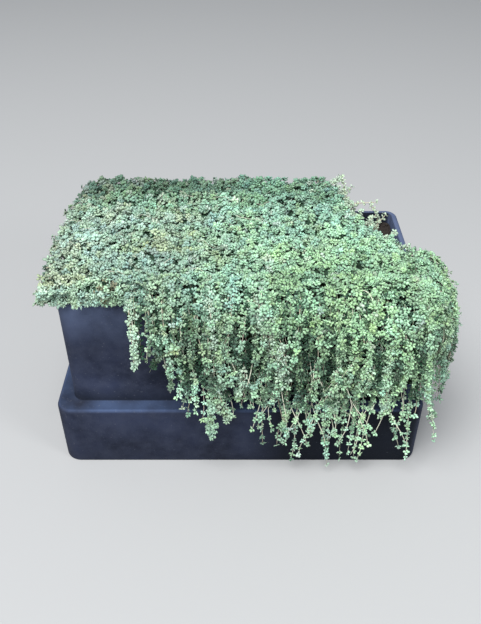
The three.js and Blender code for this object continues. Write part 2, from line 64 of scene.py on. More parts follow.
# %% Measures of the plant
MAT_Y, MAT_LEFT, MAT_RIGHT = np.array([  # y, and where the mat ends there at the left and the right
    (-125, -238, 232), (-84, -238, 214), (-10, -237, 196), (62, -230, 148), (138, -220, 127),
], float).T
HANG_LEFT = -134.0
STRANDS_LEFT = -129.0
CURTAIN_RIGHT = 232.0
CURTAIN_X, DENSE_END, LOOSE_END = np.array([  # x, and the height where the dense and the loose strands end
    (-143, 240, 224), (-135, 216, 200), (-127, 208, 188), (-121, 222, 206), (-118, 246, 240),
    (-109, 244, 236), (-105, 204, 174), (-92, 184, 164), (-76, 156, 134), (-58, 146, 130), (-44, 140, 84),
    (-36, 138, 62), (-22, 136, 88), (-6, 142, 132), (10, 142, 120), (28, 136, 36), (90, 130, 12),
    (180, 130, 14), (236, 140, 26),
], float).T
rng = np.random.default_rng(20417)

# %% [markdown]
# ## Small tools
#
# Every piece is a set of points worked out for all its leaves at once. These helpers are the grammar for
# that: a unit vector, smooth noise for mounds and patches of colour, and one class that turns arrays of
# points and triangles into a Blender mesh.


# %% Vectors and random numbers
UP = np.array([0.0, 0.0, 1.0])
FRONT = np.array([0.0, -1.0, 0.0])


def unit(vectors):
    """Each vector divided by its own length."""
    return vectors / np.maximum(np.linalg.norm(vectors, axis=-1, keepdims=True), 1e-9)


def xyz(x, y, z):
    """Points from their three coordinates, each an array or a plain number."""
    return np.stack(np.broadcast_arrays(x, y, z), axis=-1)


def drawn(low, high, like):
    """One random number between low and high for each item of another array."""
    return rng.uniform(low, high, len(like))


def tangled(*shape):
    """Random vectors with no preferred direction."""
    return rng.normal(size=(*shape, 3))


# %% Smooth noise
CELLS = 64
LATTICE = rng.random((CELLS, CELLS))


def smooth(t):
    """3t² - 2t³ between 0 and 1: flat at both ends."""
    t = np.clip(t, 0, 1)
    return t * t * (3 - 2 * t)


def patches(x, y, size):
    """Random heights on a square lattice with cells of one size, blended by 3t² - 2t³: from -1 to 1."""
    u = np.asarray(x) / size + 17.3
    v = np.asarray(y) / size + 5.9
    i = np.floor(u).astype(int)
    j = np.floor(v).astype(int)
    s = smooth(u - i)
    t = smooth(v - j)

    def row(k):
        """The heights in lattice row k."""
        return LATTICE[i % CELLS, k % CELLS] * (1 - s) + LATTICE[(i + 1) % CELLS, k % CELLS] * s

    return 2 * (row(j) * (1 - t) + row(j + 1) * t) - 1


def mounds(x, y, pitch):
    """1 on top of a mound and 0 in the furrow round it: 1 - 2 · (distance to the nearest top / pitch)²."""
    u = np.asarray(x) / pitch
    v = np.asarray(y) / pitch
    i = np.floor(u).astype(int)
    j = np.floor(v).astype(int)
    nearest = np.full(np.broadcast(u, v).shape, 9.0)
    for a, b in ((i + p, j + q) for p in (-1, 0, 1) for q in (-1, 0, 1)):
        top_u = a + 0.5 + 0.8 * (LATTICE[a % CELLS, b % CELLS] - 0.5)
        top_v = b + 0.5 + 0.8 * (LATTICE[(b + 31) % CELLS, a % CELLS] - 0.5)
        nearest = np.minimum(nearest, (u - top_u) ** 2 + (v - top_v) ** 2)
    return np.clip(1 - 2 * nearest, 0, 1)


# %% From arrays to a mesh
def outward(points, faces):
    """The faces, turned round if a · (b × c) summed over them, six times the volume inside, is negative."""
    a, b, c = (points[faces[:, k]] for k in range(3))
    return faces if (a * np.cross(b, c)).sum() > 0 else faces[:, ::-1]


class Batch:
    """Gathers points, triangles, a finish per triangle, and per point a tint and a place across its blade."""

    def __init__(self):
        self.parts = []
        self.count = 0

    def add(self, points, faces, finish, tint=(0.5, 0.5, 0.5), across=0.0):
        """Adds shapes. Across is 0 on a blade's midrib and 1 or -1 where it is widest."""
        points = points.reshape(-1, 3)
        faces = outward(points, faces.reshape(-1, 3)) + self.count
        finish = np.full(len(faces), finish, np.int32)
        tint = np.broadcast_to(tint, points.shape)
        self.parts.append((points, faces, finish, tint, np.broadcast_to(across, len(points))))
        self.count += len(points)

    def mesh(self, name):
        """All that was added, as one Blender mesh in metres."""
        points, faces, finish, tint, across = (np.concatenate(kind) for kind in zip(*self.parts))
        mesh = bpy.data.meshes.new(name)
        mesh.vertices.add(len(points))
        mesh.vertices.foreach_set("co", (points * MILLIMETRE).astype(np.float32).ravel())
        mesh.loops.add(faces.size)
        mesh.loops.foreach_set("vertex_index", faces.astype(np.int32).ravel())
        mesh.polygons.add(len(faces))
        mesh.polygons.foreach_set("loop_start", np.arange(0, faces.size, 3, dtype=np.int32))
        mesh.polygons.foreach_set("material_index", finish)
        tint = np.column_stack([tint, np.ones(len(points))])
        for label, kind, field, values in (
            ("tint", "FLOAT_COLOR", "color", tint),
            ("across", "FLOAT", "value", across),
        ):
            layer = mesh.attributes.new(label, kind, "POINT")
            layer.data.foreach_set(field, values.astype(np.float32).ravel())
        mesh.update()
        mesh.validate()
        mesh.shade_smooth()
        return mesh


def show(mesh, materials, slot, *nodes):
    """Puts a mesh in the scene as a piece that stands for the named solids."""
    piece = bpy.data.objects.new(mesh.name, mesh)
    bpy.context.scene.collection.objects.link(piece)
    for material in materials:
        mesh.materials.append(material)
    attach(piece, "root")
    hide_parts(*nodes)
    print(mesh.name, len(mesh.polygons), "faces")


# %% [markdown]
# ## Surfaces as grids
#
# Three shapes carry the plant and the trough. A *loft* joins rings of points, a *tube* sweeps a small
# ring along many paths at once, and a *closed sheet* joins a front grid to a back grid at their edges.


# %% Grids into triangles
def band_faces(rows, columns, wrap):
    """Two triangles for each cell of a grid, whose last column meets the first where it wraps."""
    r, c = np.meshgrid(np.arange(rows - 1), np.arange(columns if wrap else columns - 1), indexing="ij")
    a = r * columns + c
    b = r * columns + (c + 1) % columns
    cells = np.stack([a, b, b + columns, a, b + columns, a + columns], axis=-1)
    return cells.reshape(-1, 3)


def copies(faces, number, points_each):
    """The same faces for every copy, with each copy's points numbered after those before it."""
    return faces[None] + (np.arange(number) * points_each)[:, None, None]


def loft(rings):
    """Closed skin over rings (rows, columns, 3), with a fan to the centre of the first and last ring."""
    rows, columns, _ = rings.shape
    ends = np.stack([rings[0].mean(0), rings[-1].mean(0)])
    k = np.arange(columns)
    following = (k + 1) % columns
    last = (rows - 1) * columns
    bottom = xyz(rows * columns, following, k)
    top = xyz(rows * columns + 1, last + k, last + following)
    points = np.concatenate([rings.reshape(-1, 3), ends])
    return points, np.concatenate([bottom, band_faces(rows, columns, True), top])


def closed_sheet(front, back):
    """A front grid and a back grid (rows, columns, 3) joined all round: a thin closed slab."""
    rows, columns, _ = front.shape
    skin = band_faces(rows, columns, False)
    grid = np.arange(rows * columns).reshape(rows, columns)
    rim = np.concatenate([grid[0, :-1], grid[:-1, -1], grid[-1, :0:-1], grid[:0:-1, 0]])
    onward = np.roll(rim, -1)
    shift = rows * columns
    side = np.stack([rim, onward + shift, onward, rim, rim + shift, onward + shift], axis=-1)
    points = np.concatenate([front.reshape(-1, 3), back.reshape(-1, 3)])
    return points, np.concatenate([skin, skin[:, ::-1] + shift, side.reshape(-1, 3)])


def slab(x, y, top, bottom):
    """A closed sheet that lies between two heights over the same grid of places."""
    return closed_sheet(xyz(x, y, top), xyz(x, y, bottom))


def tubes(paths, radius, sides=4):
    """A ring of points round every point of every path: path + r (cos a · side + sin a · top)."""
    count, steps, _ = paths.shape
    along = unit(np.gradient(paths, axis=1))
    side = unit(np.cross(along, np.array([0.31, -0.22, 0.14]) + 0 * along))
    top = np.cross(along, side)
    angle = np.arange(sides) * 2 * np.pi / sides
    ring = np.cos(angle)[:, None] * side[:, :, None] + np.sin(angle)[:, None] * top[:, :, None]
    points = paths[:, :, None] + np.broadcast_to(radius, (count, steps))[:, :, None, None] * ring
    fan = np.arange(1, sides - 1)
    start = xyz(0, fan + 1, fan)
    end = (steps - 1) * sides + xyz(0, fan, fan + 1)
    faces = np.concatenate([start, band_faces(steps, sides, True), end])
    return points, copies(faces, count, steps * sides)


def along_path(path, steps):
    """Points between those of one path, at steps that need not be whole, interpolated in a straight line."""
    return np.stack([np.interp(steps, np.arange(len(path)), path[:, k]) for k in range(3)], axis=-1)


# %% [markdown]
# ## One leaf
#
# A leaf of woolly thyme is a small oval blade, slightly folded along its midrib and bent down at its tip.
# It is lofted from its base to its tip through two rings of three points: midrib, right and left edge.
# Thousands of copies follow, so one leaf has only twelve triangles.


# %% The leaf, of length 1
LEAF, STEM, THATCH = 0, 1, 2
WIDEST = 0.28


def leaf_shape():
    """Rings at stations t along the blade: (half width · side, t, rise - 0.16 t²), domed at the midrib."""
    station = np.array([[0.32], [0.74]])
    half_width = np.array([[0.27], [WIDEST]])
    side = np.array([0.0, 1.0, -1.0])
    rise = np.array([0.085, -0.01, -0.01])
    points, faces = loft(xyz(half_width * side, station, -0.16 * station**2 + rise))
    points[-2] = (0.0, 0.0, 0.0)
    points[-1] = (0.0, 1.0, -0.2)
    return points, faces


LEAF_POINTS, LEAF_FACES = leaf_shape()
LEAF_ACROSS = LEAF_POINTS[:, 0] / WIDEST
print("one leaf:", len(LEAF_FACES), "triangles")


# %% Many leaves at once
def leaves(batch, base, direction, face, length, width, tint):
    """Each copy's point is base + length · (width · x · across + y · along + z · up)."""
    along = unit(direction)
    across = unit(np.cross(along, face))
    up = np.cross(across, along)
    x, y, z = LEAF_POINTS.T[..., None]
    local = width[:, None, None] * x * across[:, None] + y * along[:, None] + z * up[:, None]
    points = base[:, None] + length[:, None, None] * local
    faces = copies(LEAF_FACES, len(base), len(LEAF_POINTS))
    tint = np.repeat(tint, len(LEAF_POINTS), axis=0)
    batch.add(points, faces, LEAF, tint, np.tile(LEAF_ACROSS, len(base)))


# %% Hairs
HAIR = {"radius": 0.09, "length": 1.5, "colour": (0.80, 0.82, 0.74)}


def hairs(batch, base, way):
    """Thin spikes of four triangles: three points round the base, and a tip."""
    way = unit(way)
    side = unit(np.cross(way, tangled(len(base))))
    top = np.cross(way, side)
    turn = np.arange(3)[None, :, None] * 2 * np.pi / 3
    ring = base[:, None] + HAIR["radius"] * (np.cos(turn) * side[:, None] + np.sin(turn) * top[:, None])
    points = np.concatenate([ring, (base + HAIR["length"] * way)[:, None]], axis=1)
    faces = np.array([(0, 2, 1), (0, 1, 3), (1, 2, 3), (2, 0, 3)])
    batch.add(points, copies(faces, len(base), 4), STEM, HAIR["colour"])


# %% [markdown]
# ## A tuft
#
# The mat's texture is its shoot tips. Each tip is a tuft: leaf pairs that cross, seen end on as a small
# star of four or five leaves. The leaves ring an axis, lift off its plane, and the inner ones are smaller.


# %% Tufts around their axes
LEAF_LENGTH = 4.9


def tufts(batch, centre, axis, tint, size, count=5, lift=(0.12, 0.6), broad=1.0, hairy=0):
    """Leaf k starts at turn + k · 360° / count and lifts by an angle: cos · spread + sin · axis."""
    number = len(centre)
    axis = unit(axis)
    first = unit(np.cross(axis, unit(tangled(number))))
    second = np.cross(axis, first)
    turn = rng.uniform(0, 2 * np.pi, (number, 1)) + np.arange(count) * 2 * np.pi / count
    turn = turn + rng.normal(0, 0.22, turn.shape)
    odd = np.arange(count) % 2
    raised = rng.uniform(*lift, turn.shape) + 0.4 * odd
    spread = np.cos(turn)[..., None] * first[:, None] + np.sin(turn)[..., None] * second[:, None]
    direction = np.cos(raised)[..., None] * spread + np.sin(raised)[..., None] * axis[:, None]
    face = axis[:, None] + 0.25 * tangled(number, count)
    inner = 1.0 - 0.18 * odd
    length = LEAF_LENGTH * size[:, None] * inner * rng.uniform(0.8, 1.15, turn.shape)
    base = centre[:, None] + 0.3 * spread
    shade = rng.normal(1.0, 0.1, (number, count, 1)) * (0.95 + 0.12 * odd)[:, None]
    tint = np.clip(tint[:, None] * shade, 0.01, 1)
    width = rng.uniform(1.05, 1.4, turn.size) * broad
    way = direction.reshape(-1, 3)
    leaves(batch, base.reshape(-1, 3), way, face.reshape(-1, 3), length.ravel(), width, tint.reshape(-1, 3))
    for _ in range(hairy):
        along = rng.uniform(0.4, 1.0, length.shape) * length
        place = base + along[..., None] * direction
        hairs(batch, place.reshape(-1, 3), way + 0.8 * tangled(length.size))


def rosettes(batch, centre, axis, tint, size):
    """Two whorls: five broad leaves spread nearly flat, and four smaller, paler ones raised over them."""
    tufts(batch, centre, axis, 0.88 * tint, 1.22 * size, 5, (0.0, 0.3))
    tufts(batch, centre + 1.3 * axis, axis, 1.06 * tint, 0.82 * size, 4, (0.35, 0.8))


# %% [markdown]
# ## Colour over the plant
#
# Most leaves are silver-green. They are greener at the rear, bluer at the right of it, yellower at the front
# right where growth is young, and greyer with straw-coloured patches along the left. One olive streak curves
# across the left half. The areas are soft, each tuft draws its own colour near its area's, and warm and cool
# patches lie over them, so that no edge between them shows. Painted light and shade by place make the rear
# darker and the middle right brighter, and painted shade darkens the inner leaves towards a dark green.


# %% The plant's colours
SILVER = np.array([0.315, 0.55, 0.375])
BLUE_GREY = np.array([0.24, 0.44, 0.37])
LEAF_GREEN = np.array([0.17, 0.415, 0.26])
FRESH = np.array([0.34, 0.60, 0.255])
GREYISH = np.array([0.40, 0.55, 0.44])
OLIVE = np.array([0.41, 0.50, 0.23])
STRAW = np.array([0.50, 0.55, 0.34])
PEARL = np.array([0.43, 0.56, 0.42])
WHITISH = np.array([0.48, 0.66, 0.50])
YOUNG = np.array([0.52, 0.67, 0.45])
SPRIG_GREEN = np.array([0.47, 0.64, 0.45])
BROWN = np.array([0.17, 0.115, 0.045])
PAINTED_SHADE_GREEN = np.array([0.030, 0.110, 0.058])
MOSSY = np.array([0.050, 0.105, 0.065])
# SHADED is near-black painted shade, for the thatch behind the strands and the block under the mat.
SHADED = np.array([0.012, 0.018, 0.009])
CREAM = np.array([0.80, 0.79, 0.62])
DRY = np.array([0.54, 0.46, 0.33])
PINK = np.array([0.40, 0.30, 0.25])
WOOD = np.array([0.11, 0.17, 0.075])
STEM_COLOURS = np.stack([CREAM, DRY, PINK, WOOD])
STEM_SHARES = (0.25, 0.3, 0.1, 0.35)
FRINGE_SHARES = (0.7, 0.15, 0.05, 0.1)


def stems(batch, paths, radius, sides, shares=STEM_SHARES):
    """Tubes along the paths, each in one of the four stem colours at a brightness of its own."""
    count, steps, _ = paths.shape
    tint = STEM_COLOURS[rng.choice(4, count, p=shares)] * rng.uniform(0.8, 1.1, (count, 1))
    batch.add(*tubes(paths, radius, sides), STEM, np.repeat(tint, steps * sides, axis=0))


# %% Leaf colours by place
def blob(x, y, at, reach):
    """1 at the middle of a round patch, falling to 0 as exp(-distance²)."""
    return np.exp(-((x - at[0]) ** 2 + (y - at[1]) ** 2) / reach**2)


def streak(x, y):
    """1 along the curved line y = -18 - 0.005 (x + 98)², falling to 0 over 13 mm and towards its ends."""
    return np.exp(-(((y + 18 + 0.005 * (x + 98) ** 2) / 13) ** 2)) * blob(x, 0, (-103, 0), 85)


def painted_light(x, y):
    """Painted light and shade by place: darker at the rear, brighter in the middle right, and soft patches.
    """
    right = smooth((x + 60) / 120)
    rear = (0.5 - 0.32 * right) * smooth((y - 55 - 26 * patches(x, 0.4 * y + 9, 40)) / 50)
    middle = right * smooth((y + 75) / 40)
    hanging = smooth((-80 - y) / 40)
    aside = smooth((abs(x - 30) - 50) / 60)
    soft = 0.15 * patches(x, 1.4 * y, 36) + 0.12 * patches(y, x, 15)
    return (1.05 + 0.18 * middle + (0.18 * aside - 0.03) * hanging) * (1 - rear) * (1 + soft)


def leaf_tint(x, y, depth):
    """Blends the named greens by place. y runs on down the curtain; depth darkens inner leaves as painted
    shade.
    """
    x = x + 9 * patches(x, y, 41)
    y = y + 7 * patches(y, x, 33)
    shape = np.shape(x)
    leftward = smooth((50 - 1.5 * np.clip(-40 - y, 0, 60) - x) / 230) * smooth((88 - y) / 45)
    young = 0.72 * blob(x, y, (130, -100), 125) + 0.4 * blob(x, y, (-165, 112), 36)
    colour = SILVER + np.zeros((*shape, 3))
    for other, share in (
        (GREYISH, 0.95 * leftward + 0.3 * patches(x + 40, 1.5 * y, 38)),
        (BLUE_GREY, 0.7 * blob(x, y, (135, 84), 48) + 0.3 * patches(x + 11, 1.7 * y, 45)),
        (LEAF_GREEN, 0.8 * smooth((y - 50) / 50) + 0.35 * patches(x - 30, 1.5 * y, 31)),
        (FRESH, young + 0.25 * patches(x, 1.8 * y, 30)),
        (STRAW, 0.8 * patches(x - 9, 1.6 * y, 21) * smooth((60 - x) / 160) - 0.1),
        (OLIVE, 1.15 * streak(x, y) + 0.36 * patches(x + 90, 1.8 * y, 13) - 0.24),
    ):
        share = np.clip(share + 0.35 * (rng.random(shape) - 0.5), 0, 1)
        colour = colour + 0.8 * share[..., None] * (other - colour)
    pearly = rng.random(shape) < 0.03 + 0.1 * smooth((40 - x) / 200) * smooth((y + 90) / 60)
    colour = np.where(pearly[..., None], PEARL, colour)
    dead = rng.random(shape) < 0.95 * blob(x, y, (-164, -96), 11)
    colour = np.where(dead[..., None], 0.22 * colour + 0.78 * BROWN, colour)
    # painted shade: inner leaves darken towards a shade green by their depth
    colour = colour + np.clip(depth, 0, 1)[..., None] * (PAINTED_SHADE_GREEN - colour)
    warm = 0.13 * patches(x + 57, 1.6 * y, 14) + 0.13 * patches(x + 31, y, 2.7)
    warm = warm + 0.06 * smooth((-70 - y) / 40)
    hue = xyz(1 + 0.4 * warm, 1.0, 1 - warm)
    # painted light and shade by place, times a random tone for each tuft
    return colour * hue * painted_light(x, y)[..., None] * np.exp(rng.normal(0, 0.1, (*shape, 1)))


def hanging_tint(centre, depth=0.0):
    """The leaf colours for tufts below the rim: their height under it takes the place of y."""
    return leaf_tint(centre[:, 0], -100 + centre[:, 2] - RIM_Z, depth + np.zeros(len(centre)))


# %% [markdown]
# ## The mat
#
# The mat lies on the soil and the rim, rises gently towards the back, and is higher in shallow mounds.
# Under the leaves is a dark thatch of old stems, one closed slab. Single tufts darkened by painted shade
# stand just over it, and brighter double ones over those, so that the gaps between them look deep.

# %% The mat's height
# The gaps below are low places in the mat with fewer tufts; painted shade darkens the thatch and tufts there.
HOLLOWS = (  # x, y and radius of the dark gaps where no tuft has closed the mat
    (98, -74, 10), (60, -82, 7), (79, -47, 5), (68, 57, 9), (96, 35, 8), (115, 38, 6), (-162, -97, 9),
    (-183, -101, 4), (-120, -110, 5), (147, -55, 8), (-122, 13, 4), (182, -99, 5), (84, 101, 6), (86, 38, 5),
    (-132, 107, 4), (-121, 110, 4), (-106, 107, 5), (-91, 98, 5), (-81, 84, 4),
)


def hollow(x, y):
    """1 at the middle of a gap and 0 away from it: the largest exp(-(distance / radius)²)."""
    return np.max([blob(x, y, at, radius) for *at, radius in HOLLOWS], axis=0)


def swellings(x, y):
    """Mounds about 37 mm and 19 mm wide, each from 0 to 1."""
    return mounds(x, y, 37), mounds(x + 200, y, 19)


def mat_top(x, y):
    """Rim + front height + rise to the back + one long wave + mounds of two sizes + noise - hollows."""
    back = np.clip((y - MAT_Y[0]) / (MAT_Y[-1] - MAT_Y[0]), 0, 1)
    waves = 2.6 * np.sin(x / 31 + 0.6) * np.cos(y / 27 - 0.4)
    large, small = swellings(x, y)
    swell = 5.0 * large + 3.4 * small
    return RIM_Z + 7 + 20 * back + waves + swell + 1.4 * patches(x, y, 9) - 5 * hollow(x, y)


def mat_edges(y):
    """The mat's left and right end at y, from the measures, with an uneven margin."""
    left = np.interp(y, MAT_Y, MAT_LEFT) + 6 * patches(y, 0 * y, 25) + 3 * patches(y, 0 * y + 30, 8)
    right = np.interp(y, MAT_Y, MAT_RIGHT) + 5 * patches(y, 0 * y + 50, 17) + 3 * patches(y, 0 * y + 70, 7)
    return left, right


def mat_x(share, y):
    """x at a share of the way from the mat's left to its right end."""
    left, right = mat_edges(y)
    return left + share * (right - left)


def slope(x, y):
    """The upward normal of the mat: (-dz/dx, -dz/dy, 1), from steps of 3 mm."""
    east = (mat_top(x + 3, y) - mat_top(x - 3, y)) / 6
    north = (mat_top(x, y + 3) - mat_top(x, y - 3)) / 6
    return unit(xyz(-east, -north, 1.0))


# %% The thatch under the mat
THATCH_FOOT = RIM_Z + 0.7


def mat_thatch(batch, low, high):
    """A closed slab between two values of y: its top about 5 mm under the mat's, its underside on the rim."""
    share, y = np.meshgrid(np.linspace(0.012, 0.988, 90), np.linspace(low, high, 24), indexing="ij")
    x = mat_x(share, y)
    edge = np.minimum(share, 1 - share) * 26
    top = mat_top(x, y) - 4.5 - 5 * (1 - smooth(edge))
    # painted shade: the thatch is darker in the hollows
    tint = MOSSY * (1 - 0.9 * hollow(x, y).reshape(-1, 1))
    batch.add(*slab(x, y, top + 1.2 * patches(x, y, 4), THATCH_FOOT), THATCH, np.tile(tint, (2, 1)))


def soil_fill(batch, low, high):
    """A closed block of roots inside the trough, from the soil up to the thatch."""
    inner = BODY["width"] / 2 - WALL - 2
    side = BODY["length"] / 2 - WALL - 2
    y = np.linspace(max(low, -inner), min(high, inner), 12)
    right = np.minimum(mat_edges(y)[1] - 6, side)
    x = -side + np.linspace(0, 1, 24)[:, None] * (right + side)
    # its near-black tint is painted shade
    batch.add(*slab(x, y, RIM_Z + 3, SOIL_Z - 1.5), THATCH, SHADED)


# %% Tufts over the mat
MAT_LAYERS = (
    # pitch, height over the mat, depth (the share of painted shade), size, lean, and how open a gap keeps it
    # out
    (7.8, (-2.5, 1.0), 0.13, 1.15, 0.45, 0.7),
    (8.6, (0.0, 5.0), 0.0, 1.08, 0.36, 0.3),
)


def jittered(x, y, pitch):
    """A grid's points, each moved by up to 0.6 of a pitch both ways."""
    x = (x + rng.uniform(-0.6, 0.6, x.shape) * pitch).ravel()
    return x, (y + rng.uniform(-0.6, 0.6, y.shape) * pitch).ravel()


def scatter(low, high, pitch):
    """Places on the mat about one pitch apart: a grid in staggered rows, jittered."""
    y, x = np.meshgrid(np.arange(low, high, pitch * 0.87), np.arange(-246, 240, pitch), indexing="ij")
    x = x + (np.arange(len(x)) % 2)[:, None] * pitch / 2
    x, y = jittered(x, y, pitch)
    y = np.clip(y, low, high)
    left, right = mat_edges(y)
    inside = (x > left) & (x < right)
    return x[inside], y[inside]


def mat_tufts(batch, low, high):
    """A lower layer of tufts in painted shade, and a bright upper one of rosettes, each on a short stem."""
    for pitch, rise, depth, size, lean, open_from in MAT_LAYERS:
        x, y = scatter(low, high, pitch)
        closed = hollow(x, y) < open_from
        x = x[closed]
        y = y[closed]
        height = drawn(*rise, x)
        axis = unit(slope(x, y) + 0.18 * FRONT + lean * tangled(len(x)))
        centre = xyz(x, y, mat_top(x, y) + height - 1.5)
        large, small = swellings(x, y)
        # painted shade: more for the lower layer, for low tufts, in the furrows between mounds and in the
        # hollows
        furrow = (1 - large) ** 2 + (1 - small) ** 2
        mat_painted_shade = depth + np.clip(0.06 - 0.04 * height, 0, 0.15) + 0.07 * furrow + 0.7 * hollow(x, y)
        tint = leaf_tint(x, y, mat_painted_shade)
        stand = tufts if depth > 0 else rosettes
        stand(batch, centre, axis, tint, drawn(0.82, 1.18, x) * size)
        foot = xyz(x, y, mat_top(x, y) - 5)
        path = foot[:, None] + np.linspace(0, 1, 3)[:, None] * (centre - foot)[:, None]
        batch.add(*tubes(path, 0.35, 3), STEM, WOOD)


# %% Bare stems on the mat
CREEPERS = 7
CREEPER_STEPS = 12


def creeping_stems(batch, low, high):
    """Bare stems that lie on the mat: a heading that wanders, summed into a path, at the mat's height."""
    share = rng.uniform(0.02, 0.8, CREEPERS) ** 1.5
    start_y = rng.uniform(low + 6, high - 4, CREEPERS)
    heading = rng.uniform(-0.9, 0.9, CREEPERS) + np.pi * rng.integers(0, 2, CREEPERS)
    turning = heading[:, None] + np.cumsum(rng.normal(0, 0.16, (CREEPERS, CREEPER_STEPS)), axis=1)
    step = rng.uniform(1.5, 3.6, CREEPERS)[:, None]
    x = mat_x(share, start_y)[:, None] + np.cumsum(step * np.cos(turning), axis=1)
    y = np.clip(start_y[:, None] + np.cumsum(step * np.sin(turning), axis=1), low - 4, high + 2)
    x = np.clip(x, *mat_edges(y))
    arch = 4.0 * np.sin(np.linspace(0.1, 3.0, CREEPER_STEPS)) * rng.uniform(0.3, 1, (CREEPERS, 1))
    tint = np.repeat(CREAM * rng.uniform(0.5, 0.8, (CREEPERS, 1)), CREEPER_STEPS * 3, axis=0)
    batch.add(*tubes(xyz(x, y, mat_top(x, y) + 1.0 + arch), 0.42, 3), STEM, tint)


# %% The mat's margin
EDGE_STEP = 3.4
EDGE_LAYERS = 4


def evenly(left, right, density):
    """Places along a side, one in each equal stretch of it."""
    number = max(2, int((right - left) * density))
    return left + (np.arange(number) + rng.uniform(0, 1, number)) / number * (right - left)


def edge_tufts(batch, base, way, furthest=8.0):
    """Tufts that lean out of the mat's side and droop over the rim by 0.08 · reach²."""
    way = np.array(way)
    number = len(base)
    for _ in range(EDGE_LAYERS):
        reach = drawn(0.5, furthest, base)
        height = np.clip(drawn(-0.5, 1.0, base), 0, 1)
        z = RIM_Z + 3 + height * (mat_top(base[:, 0], base[:, 1]) - RIM_Z - 4) - 0.08 * reach**2
        centre = np.column_stack([base[:, :2] + way[:2] * reach[:, None], z])
        centre[:, :2] += rng.normal(0, 2.5, (number, 2))
        axis = unit(0.9 * way + 0.35 * UP + 0.45 * tangled(number))
        # a random share of painted shade
        tint = leaf_tint(base[:, 0], base[:, 1], drawn(0, 0.45, base))
        tufts(batch, centre, axis, tint, drawn(0.8, 1.15, base))
        inside = centre - 11 * way + 2 * UP
        stems(batch, np.stack([inside, centre], axis=1), 0.4, 3)


def sprigs(batch, base, way):
    """Short pale shoots out of the margin: base + s · way + 0.012 s² · up, with a tuft every few mm."""
    number = len(base)
    way = unit(np.array(way) + 0.35 * UP + 0.4 * tangled(number))
    length = drawn(11, 23, base)
    s = np.linspace(0, 1, 6)[None, :, None] * length[:, None, None]
    path = base[:, None] + s * way[:, None] + 0.012 * s**2 * UP
    stems(batch, path, 0.5, 4)
    knots = path[:, 2:].reshape(-1, 3)
    along = np.repeat(way, 4, axis=0) + 0.3 * FRONT + 0.4 * UP
    tint = SPRIG_GREEN * rng.normal(1, 0.1, (len(knots), 1))
    sizes = drawn(0.85, 1.1, knots)
    tufts(batch, knots, along + 0.3 * tangled(len(knots)), tint, sizes, 5, (0.05, 0.4), 1.1, 2)


def mat_sides(batch, low, high, at_back):
    """Edge tufts along the left and right end, sprigs at the right, and edge tufts along the back."""
    y = np.arange(low, high, EDGE_STEP)
    y = y + drawn(-1.5, 1.5, y)
    for x, way in zip(mat_edges(y), ((-1.0, 0.0, 0.0), (0.86, 0.5, 0.0))):
        edge_tufts(batch, xyz(x, y, 0.0), way)
    y = evenly(low, high, 0.1 if low > -50 else 0.03)
    right = mat_edges(y)[1]
    sprigs(batch, xyz(right - 3, y, mat_top(right, y) - 3), (0.8, 0.2, 0.1))
    if at_back:
        x = np.arange(*mat_edges(high), EDGE_STEP)
        edge_tufts(batch, xyz(x, high + 3 + 4 * patches(x, 0 * x + 80, 24), 0.0), (0.0, 1.0, 0.0))


# %% [markdown]
# ## The curtain
#
# At the front the stems cross the rim and hang. One line describes the way every stem takes: level over
# the rim, round the bend, then straight down. A strand starts somewhere along that line, sinks or stands
# a little off it, drifts sideways, and carries a tuft every 8 to 18 mm. Bare pale stem shows between them
# towards the tips.

# %% The way over the rim
DRAPE_OUT, DRAPE_Z = np.array([  # distance out from the wall, and height
    (-30, 270), (-10, 272), (4, 271), (13, 266), (21, 256), (26, 240), (28, 216), (28, 0),
], float).T
EASED = 6  # mm each way in the moving average


def drape_line():
    """The way as arc length, distance out from the wall, and height, eased by a moving average."""
    ends = np.concatenate([[0], np.cumsum(np.hypot(np.diff(DRAPE_OUT), np.diff(DRAPE_Z)))])
    arc = np.arange(0, ends[-1], 1.0)
    eased = []
    for values in (DRAPE_OUT, DRAPE_Z):
        line = np.interp(arc, ends, values)
        window = 2 * EASED + 1
        line[EASED:-EASED] = np.convolve(line, np.ones(window) / window, "valid")
        eased.append(line)
    return arc, *eased


ARC, OUT, HEIGHT = drape_line()
FACING_OUT = -np.gradient(HEIGHT)
FACING_UP = np.gradient(OUT)
print("the way over the rim is", round(ARC[-1]), "mm long")


def on_drape(arc, off):
    """Distance out and height at an arc length, moved off the line along its normal."""
    out = np.interp(arc, ARC, OUT) + off * np.interp(arc, ARC, FACING_OUT)
    return out, np.interp(arc, ARC, HEIGHT) + off * np.interp(arc, ARC, FACING_UP)


def arc_at(height):
    """How far along the way its height has fallen to the given one."""
    return np.interp(-height, -HEIGHT, ARC)


# %% The way at the front, at the right end and round the corner
CORNER_WAY = (BODY["corner"] + DRAPE_OUT[-1]) * np.pi / 2


def front_point(arc, off, x):
    """Out of the front wall: (x, -width / 2 - out, z)."""
    out, z = on_drape(arc, off)
    return xyz(x, -BODY["width"] / 2 - out, z)


def end_point(arc, off, y):
    """Out of the right wall: (length / 2 + out, y, z)."""
    out, z = on_drape(arc, off)
    return xyz(BODY["length"] / 2 + out, y, z)


def corner_point(arc, off, across):
    """Round the front right corner: its centre + (corner + out) · (cos a, sin a), a from -90° to 0°."""
    out, z = on_drape(arc, off)
    angle = (across / CORNER_WAY - 1) * np.pi / 2
    radius = np.maximum(BODY["corner"] + out, 2.0)
    x = BODY["length"] / 2 - BODY["corner"] + radius * np.cos(angle)
    return xyz(x, BODY["corner"] - BODY["width"] / 2 + radius * np.sin(angle), z)


# %% Strands
STRAND_STEPS = 12
LOCK_WIDTH = 24


def locks(x, arc):
    """Strands hang in locks, as hair does: long upright mounds, 1 at their front and 0 between them."""
    return mounds(x + 6 * np.sin(arc / 37), 0.4 * np.asarray(arc), LOCK_WIDTH)


